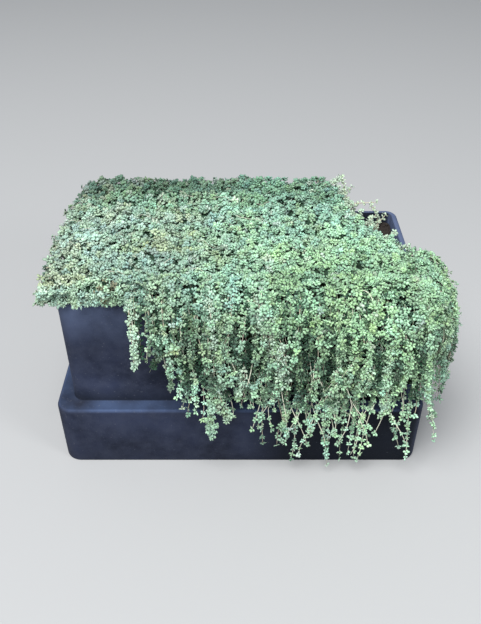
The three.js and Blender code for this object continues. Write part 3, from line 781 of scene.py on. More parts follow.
def strands(batch, place, across, lowest, start, off, pitch, drift, shares, thick=1.0):
    """Every strand runs from its start to its lowest height. Its tufts are about a pitch apart on it."""
    number = len(across)
    length = np.maximum(arc_at(lowest) - start, 12)
    sway = rng.uniform(0.8, 3.6, (number, 1))
    phase = rng.uniform(0, 6.3, (number, 1))
    bend = rng.uniform(11, 24, (number, 1))

    def at(distance):
        """Points at a distance down each strand. They sway, fill out into locks, and flick out at the tip."""
        aside = across[:, None] + drift[:, None] * distance + sway * np.sin(distance / bend + phase)
        arc = start[:, None] + distance
        flick = 3.0 * smooth((distance / length[:, None] - 0.8) / 0.2)
        fullness = 6.5 * locks(aside, arc) * smooth(arc / 30)
        lifted = (off[:, None] + fullness) * smooth(distance / 18) - 3 * (1 - smooth(distance / 12)) + flick
        return place(arc, lifted, aside)

    path = at(np.linspace(0, 1, STRAND_STEPS) * length[:, None])
    radius = thick * np.linspace(0.55, 0.38, STRAND_STEPS) * rng.uniform(0.75, 1.25, (number, 1))
    stems(batch, path, radius, 3, shares)
    most = int(np.ceil((length.max() / pitch.min()) ** 1.12)) + 2
    order = np.arange(most)[None]
    distance = length[:, None] - pitch[:, None] * order**0.93 - 1.0
    distance = distance + rng.uniform(-0.25, 0.25, distance.shape) * pitch[:, None] * (order > 0)
    kept = (distance > 3) & (rng.random(distance.shape) > 0.06)
    return at(distance)[kept], (start[:, None] + distance)[kept]


def strand_tufts(batch, centre, arc, facing, depth, size, company=0.25, standing=2.4, downward_painted_shade=0.3, hairy=0):
    """A tuft stands off the stem at each place, turned outward and up, with a smaller one beside some."""
    number = len(centre)
    centre = centre + standing * (facing + 0.5 * UP)
    hang = np.interp(arc, ARC, FACING_OUT)[:, None]
    axis = unit(facing * (0.35 + 0.5 * hang) + UP * (1.0 - 0.55 * hang))
    side = np.where(abs(facing[1]) > 0.5, centre[:, 0], centre[:, 1] + 300)
    # painted shade: darker between the locks, for deeper layers and lower down the curtain; a negative share
    # paints light
    strand_painted_shade = depth + 0.7 * (1 - locks(side, arc)) ** 2 * smooth(arc / 60)
    tint = hanging_tint(centre, strand_painted_shade) * (1 - downward_painted_shade * smooth(arc / 130))[:, None]
    sizes = size * drawn(0.8, 1.2, centre)
    tufts(batch, centre, axis + 0.5 * tangled(number), tint, sizes, 5, (0.1, 0.6), 0.9, hairy)
    beside = rng.random(number) < company
    moved = centre[beside] + 3.2 * tangled(beside.sum()) * np.array([1, 0.8, 1])
    turned = axis[beside] + 0.7 * tangled(beside.sum())
    tufts(batch, moved, turned, 0.9 * tint[beside], 0.72 * sizes[beside], 4, (0.1, 0.7), 0.9)


# %% The thatch behind the strands, near-black with painted shade
def drape_thatch(batch, place, low_side, high_side, lowest):
    """A slab along the way over the rim. It thins out downwards and ends 8 to 32 mm above the dense end."""
    columns = max(6, int((high_side - low_side) / 3.2))
    side = np.linspace(low_side, high_side, columns)[:, None]
    stop = arc_at(lowest(side) + 20 + 12 * patches(side, 0 * side, 9))
    arc = np.linspace(0, 1, 40)[None] * stop
    share = arc / stop
    bumps = 1.6 * patches(side + 0 * arc, arc, 8) + 1.0 * patches(side + 0 * arc, arc + 60, 4)
    edge = smooth(np.minimum(side - low_side, high_side - side) / 6)
    thinner = (4.2 - 2.6 * smooth((share - 0.3) / 0.7)) * (1 - 0.85 * smooth((share - 0.93) / 0.07))
    half = thinner * (0.25 + 0.75 * edge)
    front = place(arc, half + bumps * edge, side)
    # the near-black tint paints the shade in the gaps between the strands
    batch.add(*closed_sheet(front, place(arc, -half, side)), THATCH, SHADED)


# %% The shoulder
SHOULDER_LAYERS = (
    # pitch, off the way, depth (the share of painted shade), size
    (8.4, (3, 7), 0.6, 1.15),
    (6.8, (6, 13), 0.0, 1.1),
)


def shoulder_tufts(batch, place, low_side, high_side, lowest, facing):
    """The mat carries on over the rim: tufts scattered on the bend, two layers deep."""
    for pitch, off, depth, size in SHOULDER_LAYERS:
        side, arc = np.meshgrid(np.arange(low_side, high_side, pitch), np.arange(-2, 84, pitch * 0.87))
        side, arc = jittered(side, arc, pitch)
        arc = np.abs(arc)
        reach = np.clip(0.55 * (RIM_Z - lowest(side)), 52, 84)
        kept = (arc < reach) & (side > low_side - 3) & (side < high_side + 3)
        side = side[kept]
        arc = arc[kept]
        front = locks(side, arc)
        lifted = drawn(*off, arc) + 4.5 * front * smooth(arc / 30) - 2 * smooth(1 - arc / 20)
        centre = place(arc, lifted, side)
        hang = np.interp(arc, ARC, FACING_OUT)[:, None]
        axis = unit(facing * hang + UP * (1.15 - hang))
        # painted shade for the lower layer and between the locks
        tint = hanging_tint(centre, depth + 0.3 * (1 - front) ** 2)
        sizes = size * drawn(0.82, 1.2, arc)
        tufts(batch, centre, axis + 0.42 * tangled(len(arc)), tint, sizes)


# %% Layers and fringe
LAYERS = (
    # strands per mm, end over the dense end in mm, start, off, pitch, slant, depth (painted shade), size
    (0.16, (0, 70), (0, 60), (2, 5), (8.5, 10.5), 0.08, 0.93, 1.15),
    (0.15, (-8, 50), (0, 120), (4, 9), (8.5, 11), 0.11, 0.58, 1.15),
    (0.14, (8, 120), (0, 60), (7, 12), (8.5, 11.5), 0.14, 0.0, 1.1),
)
FRINGE = (
    # the same, but the end is a share of the way from the dense end down to the loose one
    (0.11, (0.0, 1.0), (40, 120), (3, 10), (11, 15.5), 0.1, 0.0, 0.97),
    (0.1, (-0.3, 0.75), (90, 160), (4, 11), (10, 15), 0.16, 0.0, 0.9),
    (0.05, (-0.3, 0.9), (90, 150), (6, 13), (12, 18), 0.3, 0.0, 0.92),
)


def dense_end(x):
    """The height where the dense part ends."""
    return np.interp(x, CURTAIN_X, DENSE_END)


def loose_end(x):
    """The height where the loose strands end."""
    return np.interp(x, CURTAIN_X, LOOSE_END)


def thinned(x):
    """The same places with some left out towards the curtain's left end, where the wall shows through."""
    return x[rng.random(len(x)) < np.interp(x, (-122, -119, -109, -104, -90), (0.6, 0.3, 0.3, 0.7, 1.0))]


def hang_layer(batch, left, right, fringe, density, fall, start, off, pitch, slant, depth, size):
    """One layer of strands. Where the curtain is short, they start higher and slant less."""
    x = thinned(evenly(max(left, STRANDS_LEFT), right, density))
    shorter = np.clip((RIM_Z - dense_end(x)) / 150, 0.3, 1)
    room = loose_end(x) - dense_end(x) + 4 if fringe else shorter
    lowest = dense_end(x) + drawn(*fall, x) * room
    begin = drawn(*start, x) * shorter
    slanting = shorter if fringe else np.interp(x, (-118, -80), (0.3, 1))
    drift = rng.normal(0, slant, len(x)) * slanting
    reach = drawn(*off, x)
    gap = drawn(*pitch, x)
    look = (FRINGE_SHARES, 1.35) if fringe else (STEM_SHARES, 1.0)
    found = strands(batch, front_point, x, lowest, begin, reach, gap, drift, *look)
    # the fringe gets painted light downwards; the other layers get painted shade downwards, more the deeper
    # they are
    loose = {"company": 0.0, "standing": 0.8, "downward_painted_shade": -0.22, "hairy": 1}
    manner = loose if fringe else {"downward_painted_shade": 0.04 + 0.6 * depth}
    strand_tufts(batch, *found, FRONT, depth, size, **manner)


# %% Locks and stems that stand out
LOCKS = (  # paleness, then (x, arc) along one lock from its top to its tip
    (0.5, (-129, 32), (-126, 60), (-125, 88), (-127, 114)),
    (0.9, (-40, 28), (-37, 46), (-35, 66), (-35, 96)),
    (0.9, (17, 38), (27, 52), (36, 66), (46, 90), (52, 116), (55, 142)),
    (0.7, (11, 44), (23, 59), (32, 76), (43, 104), (49, 132)),
    (0.2, (-39, 150), (-37, 180), (-39, 212), (-36, 238)),
    (0.2, (-32, 160), (-25, 186), (-14, 206)),
    (0.5, (1, 120), (3, 140), (-1, 158)),
    (0.3, (118, 60), (120, 100), (116, 150), (119, 190)),
    (0.4, (176, 50), (180, 100), (178, 150), (183, 200)),
)
BARE_STEMS = (  # x and arc of a stem's upper end, then of its tip
    (-24, 72, 1, 153), (-36, 48, -35, 72), (10, 42, 14, 52), (43, 84, 49, 110), (12, 128, -2, 172),
    (8, 133, 14, 166), (40, 158, 26, 202), (89, 136, 80, 184), (98, 140, 108, 180), (129, 144, 143, 198),
    (146, 33, 155, 45), (148, 190, 167, 224), (140, 204, 129, 256), (67, 194, 88, 257),
    (101, 216, 112, 256), (202, 218, 219, 256), (156, 214, 169, 257), (54, 176, 60, 236),
    (184, 170, 176, 236), (118, 190, 124, 240),
)


LOCK_STEPS = 16


def lock(batch, paleness, points):
    """Three stems side by side through the given places, leafy along their whole length."""
    points = np.array(points, float)
    share = np.linspace(0, 1, LOCK_STEPS)
    x, arc = (np.interp(share * (len(points) - 1), np.arange(len(points)), line) for line in points.T)
    across = x + np.array([[-2.5], [0.0], [2.5]])
    down = arc + np.array([[6.0], [0.0], [-7.0]])
    path = front_point(down, 9 + 6 * smooth(share / 0.3), across)
    stems(batch, path, 0.5, 4)
    steps = np.linspace(0.04, 1, int((arc[-1] - arc[0]) / 7.5))
    steps = np.clip(steps + rng.uniform(-0.02, 0.02, (3, len(steps))), 0, 1) * (LOCK_STEPS - 1)
    knots = np.concatenate([along_path(line, row) for line, row in zip(path, steps)])
    knots = knots + rng.normal(0, 1.2, knots.shape)
    tint = hanging_tint(knots)
    tint = tint + paleness * (WHITISH - tint)
    axis = 0.8 * FRONT + 0.6 * UP + 0.5 * tangled(len(knots))
    tufts(batch, knots, axis, tint, drawn(0.95, 1.2, knots), 5, (0.1, 0.6), 0.95, 1)


def bare_stem(batch, x, arc, tip_x, tip_arc):
    """A nearly straight pale stem out of the leaves, with a tuft at its tip and a smaller one on its way."""
    t = np.linspace(-0.7, 1.0, STRAND_STEPS)
    off = 15 - 11 * smooth(-t / 0.7) + 1.5 * np.sin(5 * t)
    down = np.maximum(arc + t * (tip_arc - arc), 2)
    path = front_point(down, off, x + t * (tip_x - x) + 2 * np.sin(3 * t))
    batch.add(*tubes(path[None], np.linspace(0.62, 0.42, STRAND_STEPS)[None], 5), STEM, CREAM)
    knots = path[[7, -1]]
    tint = 1.1 * hanging_tint(knots)
    axis = 0.7 * (FRONT + UP) + 0.3 * tangled(2)
    tufts(batch, knots, axis, tint, np.array([0.7, 1.05]), 5, (0.1, 0.5), 1, 2)


# %% A whole width, and the right end
def curtain(batch, left, right):
    """Thatch and shoulder, strands with less painted shade outwards, a fringe, then locks and bare stems."""
    drape_thatch(batch, front_point, left, right, dense_end)
    shoulder_tufts(batch, front_point, left, right, dense_end, FRONT)
    for fringe, rows in ((False, LAYERS), (True, FRINGE)):
        for row in rows:
            hang_layer(batch, left, right, fringe, *row)
    for paleness, *points in LOCKS:
        if left <= points[0][0] < right:
            lock(batch, paleness, points)
    for stem in BARE_STEMS:
        if left <= stem[0] < right:
            bare_stem(batch, *stem)


def end_curtain(batch, place, facing, low, high, dense, loose):
    """The same strands over the trough's right end, and round its front right corner."""
    facing = np.array(facing)
    drape_thatch(batch, place, low, high, lambda side: dense + 0 * side)
    shoulder_tufts(batch, place, low, high, lambda side: dense + 0 * side, facing)
    # strands per mm, ends, off, pitch, and depth: the share of painted shade
    for density, ends, off, pitch, depth in (
        (0.26, (dense, dense + 60), (2, 6), (8, 10), 0.5),
        (0.24, (dense, dense + 40), (5, 11), (8, 10), 0.0),
        (0.12, (loose, dense), (3, 8), (11, 14), 0.0),
    ):
        side = evenly(low, high, density)
        lowest = drawn(*ends, side)
        begin = drawn(0, 40, side)
        reach = drawn(*off, side)
        gap = drawn(*pitch, side)
        drift = rng.normal(0, 0.06, len(side))
        found = strands(batch, place, side, lowest, begin, reach, gap, drift, FRINGE_SHARES)
        strand_tufts(batch, *found, facing, depth, 1.1)


# %% [markdown]
# ## Finishes for the plant
#
# A finish is a few nodes in front of one shader. The small class below adds a node in one call, so that a
# finish reads as a recipe.
#
# The leaf finish reads the tint that each leaf carries and darkens it a little away from the midrib.
# Towards the rim of the blade, where the hairs are thickest, it adds grey wool in proportion to the tint's
# green, so that leaves darkened by painted shade stay dark. A soft sheen is how felt and woolly leaves catch
# light. Stems are cream, straw, pinkish brown or dull green under pale fluff, and the thatch is dark and
# rough, with painted shade in its tint.


# %% A recipe for a finish
class Finish:
    """A material whose nodes are added by short calls. Each call gives the socket that it made."""

    def __init__(self, name, roughness, specular=0.5):
        self.material = bpy.data.materials.new(name)
        self.material.use_nodes = True
        self.tree = self.material.node_tree
        self.shader = self.tree.nodes["Principled BSDF"].inputs
        self.feed("Roughness", roughness)
        self.feed("Specular IOR Level", specular)

    def feed(self, socket, value):
        """Links a socket, or sets a plain number or colour. A name means one of the shader's sockets."""
        socket = self.shader[socket] if isinstance(socket, str) else socket
        if isinstance(value, bpy.types.NodeSocket):
            self.tree.links.new(value, socket)
        else:
            socket.default_value = (*value, 1.0) if isinstance(value, tuple) else value

    def node(self, kind, inputs=(), output=0, **settings):
        """One node with its settings and inputs, of which the named or numbered output is given."""
        made = self.tree.nodes.new("ShaderNode" + kind)
        for name, value in settings.items():
            setattr(made, name, value)
        for place, value in inputs:
            self.feed(made.inputs[place], value)
        return made.outputs[output]

    def attribute(self, name, output):
        """What the mesh carries under a name."""
        return self.node("Attribute", output=output, attribute_name=name)

    def part(self, vector, axis):
        """One coordinate of a vector."""
        return self.node("SeparateXYZ", [(0, vector)], axis)

    def noise(self, scale, detail=3.0, roughness=0.6):
        """Noise over the object's own coordinates, in cycles per metre."""
        place = self.node("TexCoord", output="Object")
        values = [("Vector", place), ("Scale", scale), ("Detail", detail), ("Roughness", roughness)]
        return self.node("TexNoise", values, "Fac")

    def ranged(self, value, source, target):
        """A value from one range mapped to another, and held at its ends."""
        ends = zip(("From Min", "From Max", "To Min", "To Max"), (*source, *target))
        return self.node("MapRange", [("Value", value), *ends], "Result")

    def maths(self, operation, *values):
        """One operation on plain values."""
        return self.node("Math", enumerate(values), operation=operation)

    def blend(self, share, first, second):
        """Two colours mixed by a share."""
        return self.node("Mix", [(0, share), (6, first), (7, second)], 2, data_type="RGBA")

    def coat(self, colour, relief, distance, strength=0.5):
        """The last step: the colour, and bumps of a height given in metres."""
        self.feed("Base Color", colour)
        values = [("Height", relief), ("Distance", distance), ("Strength", strength)]
        self.feed("Normal", self.node("Bump", values, "Normal"))
        return self.material


# %% Leaf, stem and thatch
WHOLE = (0.0, 1.0)


def leaf_finish():
    """Tint · midrib · fuzz, with grey wool added towards the rim of the blade."""
    leaf = Finish("woolly leaf", 0.75, 0.12)
    tint = leaf.attribute("tint", "Color")
    across = leaf.maths("ABSOLUTE", leaf.attribute("across", "Fac"))
    grain = leaf.noise(700.0)
    rib = leaf.ranged(across, (0.0, 0.22), (1.0, 0.88))
    soft = leaf.maths("MULTIPLY", rib, leaf.ranged(grain, WHOLE, (0.85, 1.15)))
    hairy = leaf.node("VectorMath", [(0, tint), ("Scale", soft)], operation="SCALE")
    green = leaf.node("SeparateColor", [(0, tint)], "Green")
    edge = leaf.maths("MULTIPLY", green, leaf.ranged(across, (0.25, 0.95), (0.02, 0.56)))
    wool = leaf.node("VectorMath", [(0, hairy), (1, edge)], operation="ADD")
    leaf.feed("Sheen Weight", 0.14)
    leaf.feed("Sheen Roughness", 0.45)
    leaf.feed("Sheen Tint", (0.85, 0.95, 0.88))
    return leaf.coat(wool, grain, 0.0004)


def stem_finish():
    """The stem's own tint under pale fluff."""
    stem = Finish("creeping stem", 0.7)
    fine = stem.noise(900.0)
    fluff = stem.ranged(fine, WHOLE, (-0.35, 0.75))
    return stem.coat(stem.blend(fluff, stem.attribute("tint", "Color"), (0.80, 0.79, 0.66)), fine, 0.0003)


def thatch_finish():
    """The thatch's dark tint, which carries painted shade, with olive-brown fibres, deeply rough."""
    thatch = Finish("dark thatch", 0.95, 0.1)
    dry = thatch.ranged(thatch.noise(160.0, 4.0, 0.7), WHOLE, (-1.0, 1.1))
    tangle = thatch.blend(dry, thatch.attribute("tint", "Color"), (0.055, 0.070, 0.032))
    return thatch.coat(tangle, thatch.noise(620.0, 4.0, 0.7), 0.002, 0.9)


PLANT = [leaf_finish(), stem_finish(), thatch_finish()]
print("plant finishes:", [finish.name for finish in PLANT])

# %% [markdown]
# ## The plant's pieces
#
# The mat is three pieces, one for each row of cushions, and the curtain is three widths. The front
# left corner of the mat, where nothing hangs, belongs to the front row. One more piece of curtain turns the
# front right corner and hangs over the right end.

# %% Three rows of mat
ROWS = (("mat_front", 1, -84.0, -10.0), ("mat_middle", 6, -10.0, 62.0), ("mat_back", 11, 62.0, 138.0))
# pitch, rise, and depth: the share of painted shade
CORNER_LAYERS = ((7.8, (-3.5, 0.5), 0.4), (6.4, (0.5, 6), 0.0))


def front_corner(batch):
    """The mat's front left corner, which runs out over the rim and ends in a straight uneven margin."""
    y, x = np.meshgrid(np.linspace(-114, -84, 14), np.linspace(-234, HANG_LEFT, 36), indexing="ij")
    top = mat_top(x, y) - 5 - 4 * (1 - smooth((y + 115) / 8))
    batch.add(*slab(x, y, top, THATCH_FOOT), THATCH, MOSSY)
    for pitch, rise, depth in CORNER_LAYERS:
        grid = np.meshgrid(np.arange(-238, HANG_LEFT + 4, pitch), np.arange(-116, -83, pitch * 0.9))
        x, y = jittered(*grid, pitch)
        centre = xyz(x, y, mat_top(x, y) - 1.5 + drawn(*rise, x))
        axis = slope(x, y) + 0.2 * FRONT + 0.45 * tangled(len(x))
        tint = leaf_tint(x, y, np.full(len(x), depth))
        tufts(batch, centre, axis, tint, drawn(0.85, 1.2, x))
    x = np.arange(-238, HANG_LEFT + 6, 3.0)
    edge_tufts(batch, xyz(x, -111.0 + 2.5 * patches(x, 0 * x, 17), 0.0), (0.0, -1.0, 0.0), 5.0)
    edge_tufts(batch, xyz(-236.0, np.arange(-116, -84, 3.0), 0.0), (-1.0, 0.0, 0.0))


for name, first, low, high in ROWS:
    batch = Batch()
    mat_thatch(batch, low, high)
    soil_fill(batch, low, high)
    mat_tufts(batch, low, high)
    creeping_stems(batch, low, high)
    mat_sides(batch, low, high, name == "mat_back")
    nodes = [f"cushion_{k:02d}" for k in range(first, first + 5)]
    if name == "mat_front":
        front_corner(batch)
        nodes += ["cushion_16", "cushion_17"]
    show(batch.mesh(name), PLANT, "leaf", *nodes)

# %% Three widths of curtain, and the right end
EDGES = np.linspace(HANG_LEFT, CURTAIN_RIGHT, 4)
for k, name in enumerate(("curtain_left", "curtain_middle", "curtain_right")):
    batch = Batch()
    curtain(batch, EDGES[k], EDGES[k + 1])
    nodes = [f"trailing_bunch_{n:02d}" for n in range(4 * k + 1, 4 * k + 5)]
    show(batch.mesh(name), PLANT, "leaf", *nodes)

CORNER_DENSE_END = 142.0
CORNER_THIRDS = ((-75, 40.0), (-45, 56.0), (-15, 72.0))  # facing in degrees, and the loose end
RIGHT_STRETCHES = ((-96.0, -55.0, 150.0, 88.0), (-54.0, -27.0, 196.0, 150.0))  # y from and to, both ends
batch = Batch()
for k, (degrees, loose) in enumerate(CORNER_THIRDS):
    turned = np.radians(degrees)
    facing = (np.cos(turned), np.sin(turned), 0.0)
    third = (k * CORNER_WAY / 3, (k + 1) * CORNER_WAY / 3)
    end_curtain(batch, corner_point, facing, *third, CORNER_DENSE_END, loose)
for stretch in RIGHT_STRETCHES:
    end_curtain(batch, end_point, (1.0, 0.0, 0.0), *stretch)
show(batch.mesh("end_curtain"), PLANT, "leaf", "trailing_bunch_13", "trailing_bunch_14")

# %% [markdown]
# ## Free shoots
#
# At the right rear three young shoots stand up out of the soil. They are the palest and greenest part of
# the plant, with a ring of leaves every few millimetres and one at each tip.

# %% Shoots along given lines
SHOOTS = {
    "upright_shoot_01": [
        [(168, 80, 246), (163, 79, 268), (146, 78, 301), (138, 78, 331)],
        [(152, 79, 290), (168, 77, 292), (188, 74, 295)],
    ],
    "upright_shoot_02": [
        [(186, 52, 246), (186, 53, 262), (192, 55, 276), (199, 58, 284)],
        [(187, 53, 262), (180, 48, 276), (176, 44, 287)],
    ],
    "upright_shoot_03": [[(196, 90, 246), (196, 90, 258), (192, 88, 272), (185, 92, 279)]],
}
SHOOT_STEPS = 24


def curve_through(points, steps):
    """Catmull-Rom: each stretch is 0.5 (2b + (c-a)t + (2a-5b+4c-d)t² + (3b-a-3c+d)t³)."""
    p = np.array([points[0], *points, points[-1]], float)
    t = np.linspace(0, len(points) - 1 - 1e-6, steps)
    k = t.astype(int)
    s = (t - k)[:, None]
    a, b, c, d = (p[k + n] for n in range(4))
    return 0.5 * (2 * b + (c - a) * s + (2 * a - 5 * b + 4 * c - d) * s**2 + (3 * b - a - 3 * c + d) * s**3)


def shoot(batch, points):
    """A stem that tapers along the curve, with rings of four broad hairy leaves about 6 mm apart."""
    path = curve_through(points, SHOOT_STEPS)
    length = np.linalg.norm(np.diff(path, axis=0), axis=1).sum()
    batch.add(*tubes(path[None], np.linspace(0.8, 0.4, SHOOT_STEPS)[None], 6), STEM, DRY)
    number = int(length / 6.2)
    centre = along_path(path, np.linspace(0.1, 1.0, number) * (SHOOT_STEPS - 1))
    tint = YOUNG * rng.normal(1, 0.07, (number, 1))
    axis = unit(np.gradient(centre, axis=0)) + 0.45 * FRONT + 0.25 * UP + 0.25 * tangled(number)
    tufts(batch, centre, axis, tint, drawn(0.85, 1.1, centre), 4, (0.0, 0.35), 1.3, 4)


for name, lines in SHOOTS.items():
    batch = Batch()
    for points in lines:
        shoot(batch, points)
    show(batch.mesh(name.replace("upright", "free")), PLANT, "young_leaf", name)

# %% [markdown]
# ## The trough
#
# The holder is plain: a deep box with round edges that stands on a wider plinth. One profile, a list of
# heights and insets, is carried round a rounded rectangle, up the outside, over the rim and down to the
# floor inside. The drain holes are then cut out of its floor.


# %% Outline and profile
def rounded_outline(part, inset, steps=9):
    """Quarter circles round the four corners: centre ± (length/2 - inset - r) + r (cos a, sin a)."""
    radius = max(part["corner"] - inset, 2.0)
    quarter = np.arange(4).repeat(steps + 1)
    angle = (quarter + np.tile(np.arange(steps + 1) / steps, 4)) * np.pi / 2
    sign_x = np.array([1, -1, -1, 1])[quarter]
    sign_y = np.array([1, 1, -1, -1])[quarter]
    x = sign_x * (part["length"] / 2 - inset - radius) + radius * np.cos(angle)
    return x, sign_y * (part["width"] / 2 - inset - radius) + radius * np.sin(angle)


def round_over(part, top, radius, steps=7):
    """Rings of a rounded upper edge: inset r (1 - cos a) at height top - r (1 - sin a)."""
    angle = np.linspace(0, np.pi / 2, steps)
    return [(part, top - radius * (1 - np.sin(a)), radius * (1 - np.cos(a))) for a in angle]


def trough_profile():
    """The outline, height and inset of every ring, from the foot outside to the floor inside."""
    ledge = PLINTH["height"]
    return [
        (PLINTH, 0.0, 2.0), (PLINTH, 0.6, 0.6), (PLINTH, 2.0, 0.0), (PLINTH, 45.0, 0.0),
        *round_over(PLINTH, ledge, 5.0),
        (BODY, ledge, -1.2), (BODY, ledge + 1.2, 0.0), (BODY, 180.0, 0.0),
        *round_over(BODY, RIM_Z, 7.0),
        (BODY, RIM_Z - 0.4, WALL - 0.4), (BODY, RIM_Z - 1.5, WALL),
        (BODY, 120.0, WALL), (BODY, FLOOR_Z, WALL),
    ]


def trough_mesh():
    """The profile's rings, lofted."""
    rings = [xyz(*rounded_outline(part, inset), z) for part, z, inset in trough_profile()]
    batch = Batch()
    batch.add(*loft(np.array(rings)), 0)
    return batch.mesh("trough_shell")


def drain_cutter():
    """Four upright rods where the drain holes go."""
    x = np.array([[-1], [1], [-1], [1]]) * DRAIN["x"]
    y = np.array([[-1], [-1], [1], [1]]) * DRAIN["y"]
    batch = Batch()
    batch.add(*tubes(xyz(x, y, np.array([-5.0, FLOOR_Z + 8.0])), DRAIN["radius"], 28), 0)
    return batch.mesh("drain_cutter")


def cut(mesh, cutter_mesh):
    """The first mesh with the second taken out of it."""
    body = bpy.data.objects.new("body", mesh)
    cutter = bpy.data.objects.new("cutter", cutter_mesh)
    for made in (body, cutter):
        bpy.context.scene.collection.objects.link(made)
    difference = body.modifiers.new("drains", "BOOLEAN")
    difference.operation = "DIFFERENCE"
    difference.object = cutter
    bpy.context.view_layer.update()
    result = bpy.data.meshes.new_from_object(body.evaluated_get(bpy.context.evaluated_depsgraph_get()))
    for made in (body, cutter):
        bpy.data.objects.remove(made)
    result.name = "stepped_trough"
    return result


# %% [markdown]
# The trough's finish is a slate blue-grey that weather has stained. Noise of three sizes moves it between
# dark blues, and pale specks lie over all. Painted light makes what faces up a paler blue and the wall under
# the rim lighter. Painted shade darkens the foot of the body over the ledge, and the right half of the front
# under the curtain. Each of these colours comes with one or two masks, and its share is their product.


# %% Weathered slate blue, with painted light and shade
def trough_finish():
    """One base colour, then each colour of the list, weathering or painted light and shade, laid over what is
    there.
    """
    slate = Finish("weathered slate blue with painted light and shade", 0.5, 0.12)
    broad = slate.noise(9.0, 4.0, 0.55)
    middle = slate.noise(46.0, 5.0, 0.65)
    fine = slate.noise(640.0, 4.0, 0.7)
    specks = slate.noise(330.0, 1.0, 0.5)
    normal = slate.node("NewGeometry", output="Normal")
    place = slate.node("TexCoord", output="Object")
    height = slate.part(place, "Z")
    half_way = slate.ranged(broad, (0.36, 0.64), WHOLE)
    colour = slate.blend(half_way, (0.010, 0.013, 0.025), (0.028, 0.036, 0.070))
    stains_and_painted_light = (
        # the colour laid on, then for each mask what it reads, its range, and the share at its ends
        ((0.047, 0.055, 0.087), (middle, (0.38, 0.72), (0.0, 0.6))),
        ((0.047, 0.055, 0.083), (fine, WHOLE, (-1.2, 1.0))),
        # painted light from above: what faces up is a paler blue
        ((0.068, 0.104, 0.200), (slate.part(normal, "Z"), (0.3, 1.0), WHOLE), (broad, (0.4, 0.62), WHOLE)),
        # painted light: a lighter band on the wall under the rim
        ((0.090, 0.116, 0.195), (height, (0.19, 0.258), WHOLE), (broad, (0.38, 0.6), (0.25, 1.0))),
        # painted shade: the body is darker at its foot, in the corner over the ledge
        ((0.006, 0.008, 0.014), (height, (0.099, 0.125), (0.75, 0.0)), (height, (0.0975, 0.0985), WHOLE)),
        # painted shade: the right half of the front, under the curtain, is near black
        ((0.003, 0.005, 0.008), (slate.part(place, "X"), (0.0, 0.06), (0.0, 0.85)),
         (slate.part(normal, "Y"), (-0.6, -0.9), WHOLE)),
        ((0.16, 0.17, 0.20), (specks, (0.69, 0.75), (0.0, 0.22))),
    )
    for stain_or_painted_light, *masks in stains_and_painted_light:
        share, *others = [slate.ranged(*mask) for mask in masks]
        for other in others:
            share = slate.maths("MULTIPLY", share, other)
        colour = slate.blend(share, colour, stain_or_painted_light)
    slate.feed("Roughness", slate.ranged(middle, WHOLE, (0.55, 0.9)))
    return slate.coat(colour, fine, 0.0006, 0.6)


trough = cut(trough_mesh(), drain_cutter())
trough.shade_smooth()
show(trough, [trough_finish()], "trough_cast", "trough")

# %% [markdown]
# ## The soil
#
# Where the mat stops short at the right rear, potting soil shows: a heaved dark surface with crumbs of
# all sizes lying on it. The surface is a grid lifted by noise, and each crumb a small lump of its own.

# %% Soil and crumbs
CRUMBS = 900
SOIL_GAP = 0.4
SOIL_CORNER = 7.0
BARE_FROM = 105


def soil_top(x, y):
    """The soil's height: a long wave under noise of two sizes."""
    heave = 1.6 * np.sin(x / 29) * np.cos(y / 23) - 1.6
    return SOIL_Z + heave + 1.1 * patches(x, y, 7) + 0.6 * patches(x, y, 2.6)


def crumb_shape():
    """Two rings of five points between two poles: a rough ball of radius 1."""
    height = np.array([[-0.5], [0.55]])
    angle = np.arange(5) * 2 * np.pi / 5 + np.array([[0.0], [0.6]])
    radius = np.sqrt(1 - height**2)
    points, faces = loft(xyz(radius * np.cos(angle), radius * np.sin(angle), height))
    points[-2] = (0, 0, -1)
    points[-1] = (0, 0, 1)
    return points, faces


def rounded_in(value, limit, pull):
    """A coordinate near a corner drawn in towards the corner's centre, by the share pull."""
    inner = limit - SOIL_CORNER
    return np.sign(value) * np.where(abs(value) > inner, inner + (abs(value) - inner) * pull, abs(value))


def soil_mesh():
    """A closed slab with round corners that fills the trough, and crumbs on its bare end."""
    side = BODY["length"] / 2 - WALL - SOIL_GAP
    depth = BODY["width"] / 2 - WALL - SOIL_GAP
    x, y = np.meshgrid(np.linspace(-side, side, 100), np.linspace(-depth, depth, 48), indexing="ij")
    past_x = np.maximum(abs(x) - side + SOIL_CORNER, 0)
    past_y = np.maximum(abs(y) - depth + SOIL_CORNER, 0)
    pull = np.minimum(1, SOIL_CORNER / np.maximum(np.hypot(past_x, past_y), SOIL_CORNER))
    x = rounded_in(x, side, pull)
    y = rounded_in(y, depth, pull)
    batch = Batch()
    batch.add(*slab(x, y, soil_top(x, y), FLOOR_Z + SOIL_GAP), 0)

    x = rng.uniform(BARE_FROM, side - 2, CRUMBS)
    y = rng.uniform(-depth + 2, depth - 2, CRUMBS)
    size = rng.uniform(0.5, 1.0, CRUMBS) ** 3 * 2.6
    points, faces = crumb_shape()
    lumpy = points[None] * rng.uniform(0.7, 1.25, (CRUMBS, len(points), 1)) * size[:, None, None]
    place = xyz(x, y, soil_top(x, y) + 0.2 * size)
    batch.add(place[:, None] + lumpy, copies(faces, CRUMBS, len(points)), 0)
    return batch.mesh("potting_soil")


def soil_finish():
    """Three browns, blended by a coarse and a fine noise."""
    soil = Finish("potting soil", 0.95)
    fine = soil.noise(900.0, 4.0, 0.7)
    light = soil.ranged(soil.noise(130.0, 4.0, 0.7), WHOLE, (-0.8, 1.4))
    dark = soil.blend(light, (0.010, 0.007, 0.005), (0.060, 0.042, 0.030))
    return soil.coat(soil.blend(fine, dark, (0.030, 0.022, 0.017)), fine, 0.001, 0.8)


show(soil_mesh(), [soil_finish()], "soil", "soil")

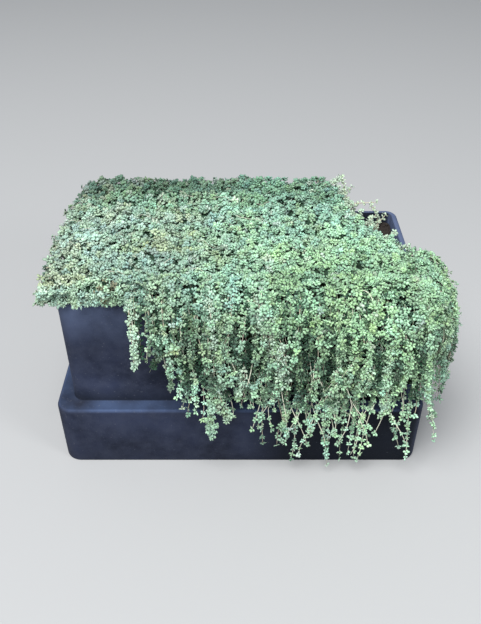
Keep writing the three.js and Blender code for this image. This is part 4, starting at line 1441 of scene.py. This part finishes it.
# %% [markdown]
# ## Floor, light and camera
#
# A pale floor, one broad soft lamp above the front left, a weaker one at the right, and a bright sky from
# all round, as on an overcast day. The camera looks down from the front.


# %% Floor
def floor(half=14):
    """One wide square with a pale finish."""
    mesh = bpy.data.meshes.new("floor")
    corners = [(-half, -half, 0), (half, -half, 0), (half, half, 0), (-half, half, 0)]
    mesh.from_pydata(corners, [], [(0, 1, 2, 3)])
    made = bpy.data.objects.new("floor", mesh)
    bpy.context.scene.collection.objects.link(made)
    pale = Finish("pale floor", 0.9)
    pale.feed("Base Color", (0.42, 0.42, 0.415))
    mesh.materials.append(pale.material)


floor()


# %% Light
AIM = np.array([0.0, 0.0, 0.2])


def lamp(name, place, size, power, colour):
    """A square lamp turned towards the plant: tilt and heading of the line from it to the aim."""
    data = bpy.data.lights.new(name, "AREA")
    data.size = size
    data.energy = power
    data.color = colour
    made = bpy.data.objects.new(name, data)
    made.location = place
    x, y, z = AIM - np.array(place)
    made.rotation_euler = (np.arctan2(np.hypot(x, y), -z), 0, np.arctan2(-x, y))
    bpy.context.scene.collection.objects.link(made)


lamp("sky_lamp", (-0.9, -1.7, 4.0), 2.6, 275, (0.97, 0.98, 1.0))
lamp("side_lamp", (2.2, -1.6, 1.6), 0.8, 26, (0.95, 0.98, 1.0))
world = bpy.data.worlds.new("sky")
bpy.context.scene.world = world
world.use_nodes = True
world.node_tree.nodes["Background"].inputs["Color"].default_value = (0.86, 0.92, 1.0, 1)
world.node_tree.nodes["Background"].inputs["Strength"].default_value = 0.42
bpy.context.scene.view_settings.view_transform = "Standard"

# %% Camera
SENSOR = 36.0
FOCAL_PIXELS = 700
PICTURE_PIXELS = 624
LOOKS_DOWN = 38.0
view = bpy.data.cameras.new("camera")
view.sensor_width = SENSOR
view.lens = SENSOR * FOCAL_PIXELS / PICTURE_PIXELS
camera = bpy.data.objects.new("camera", view)
camera.location = (0.0, -0.781078, 0.770645)
camera.rotation_euler = (np.radians(90.0 - LOOKS_DOWN), 0.0, 0.0)
bpy.context.scene.collection.objects.link(camera)
bpy.context.scene.camera = camera
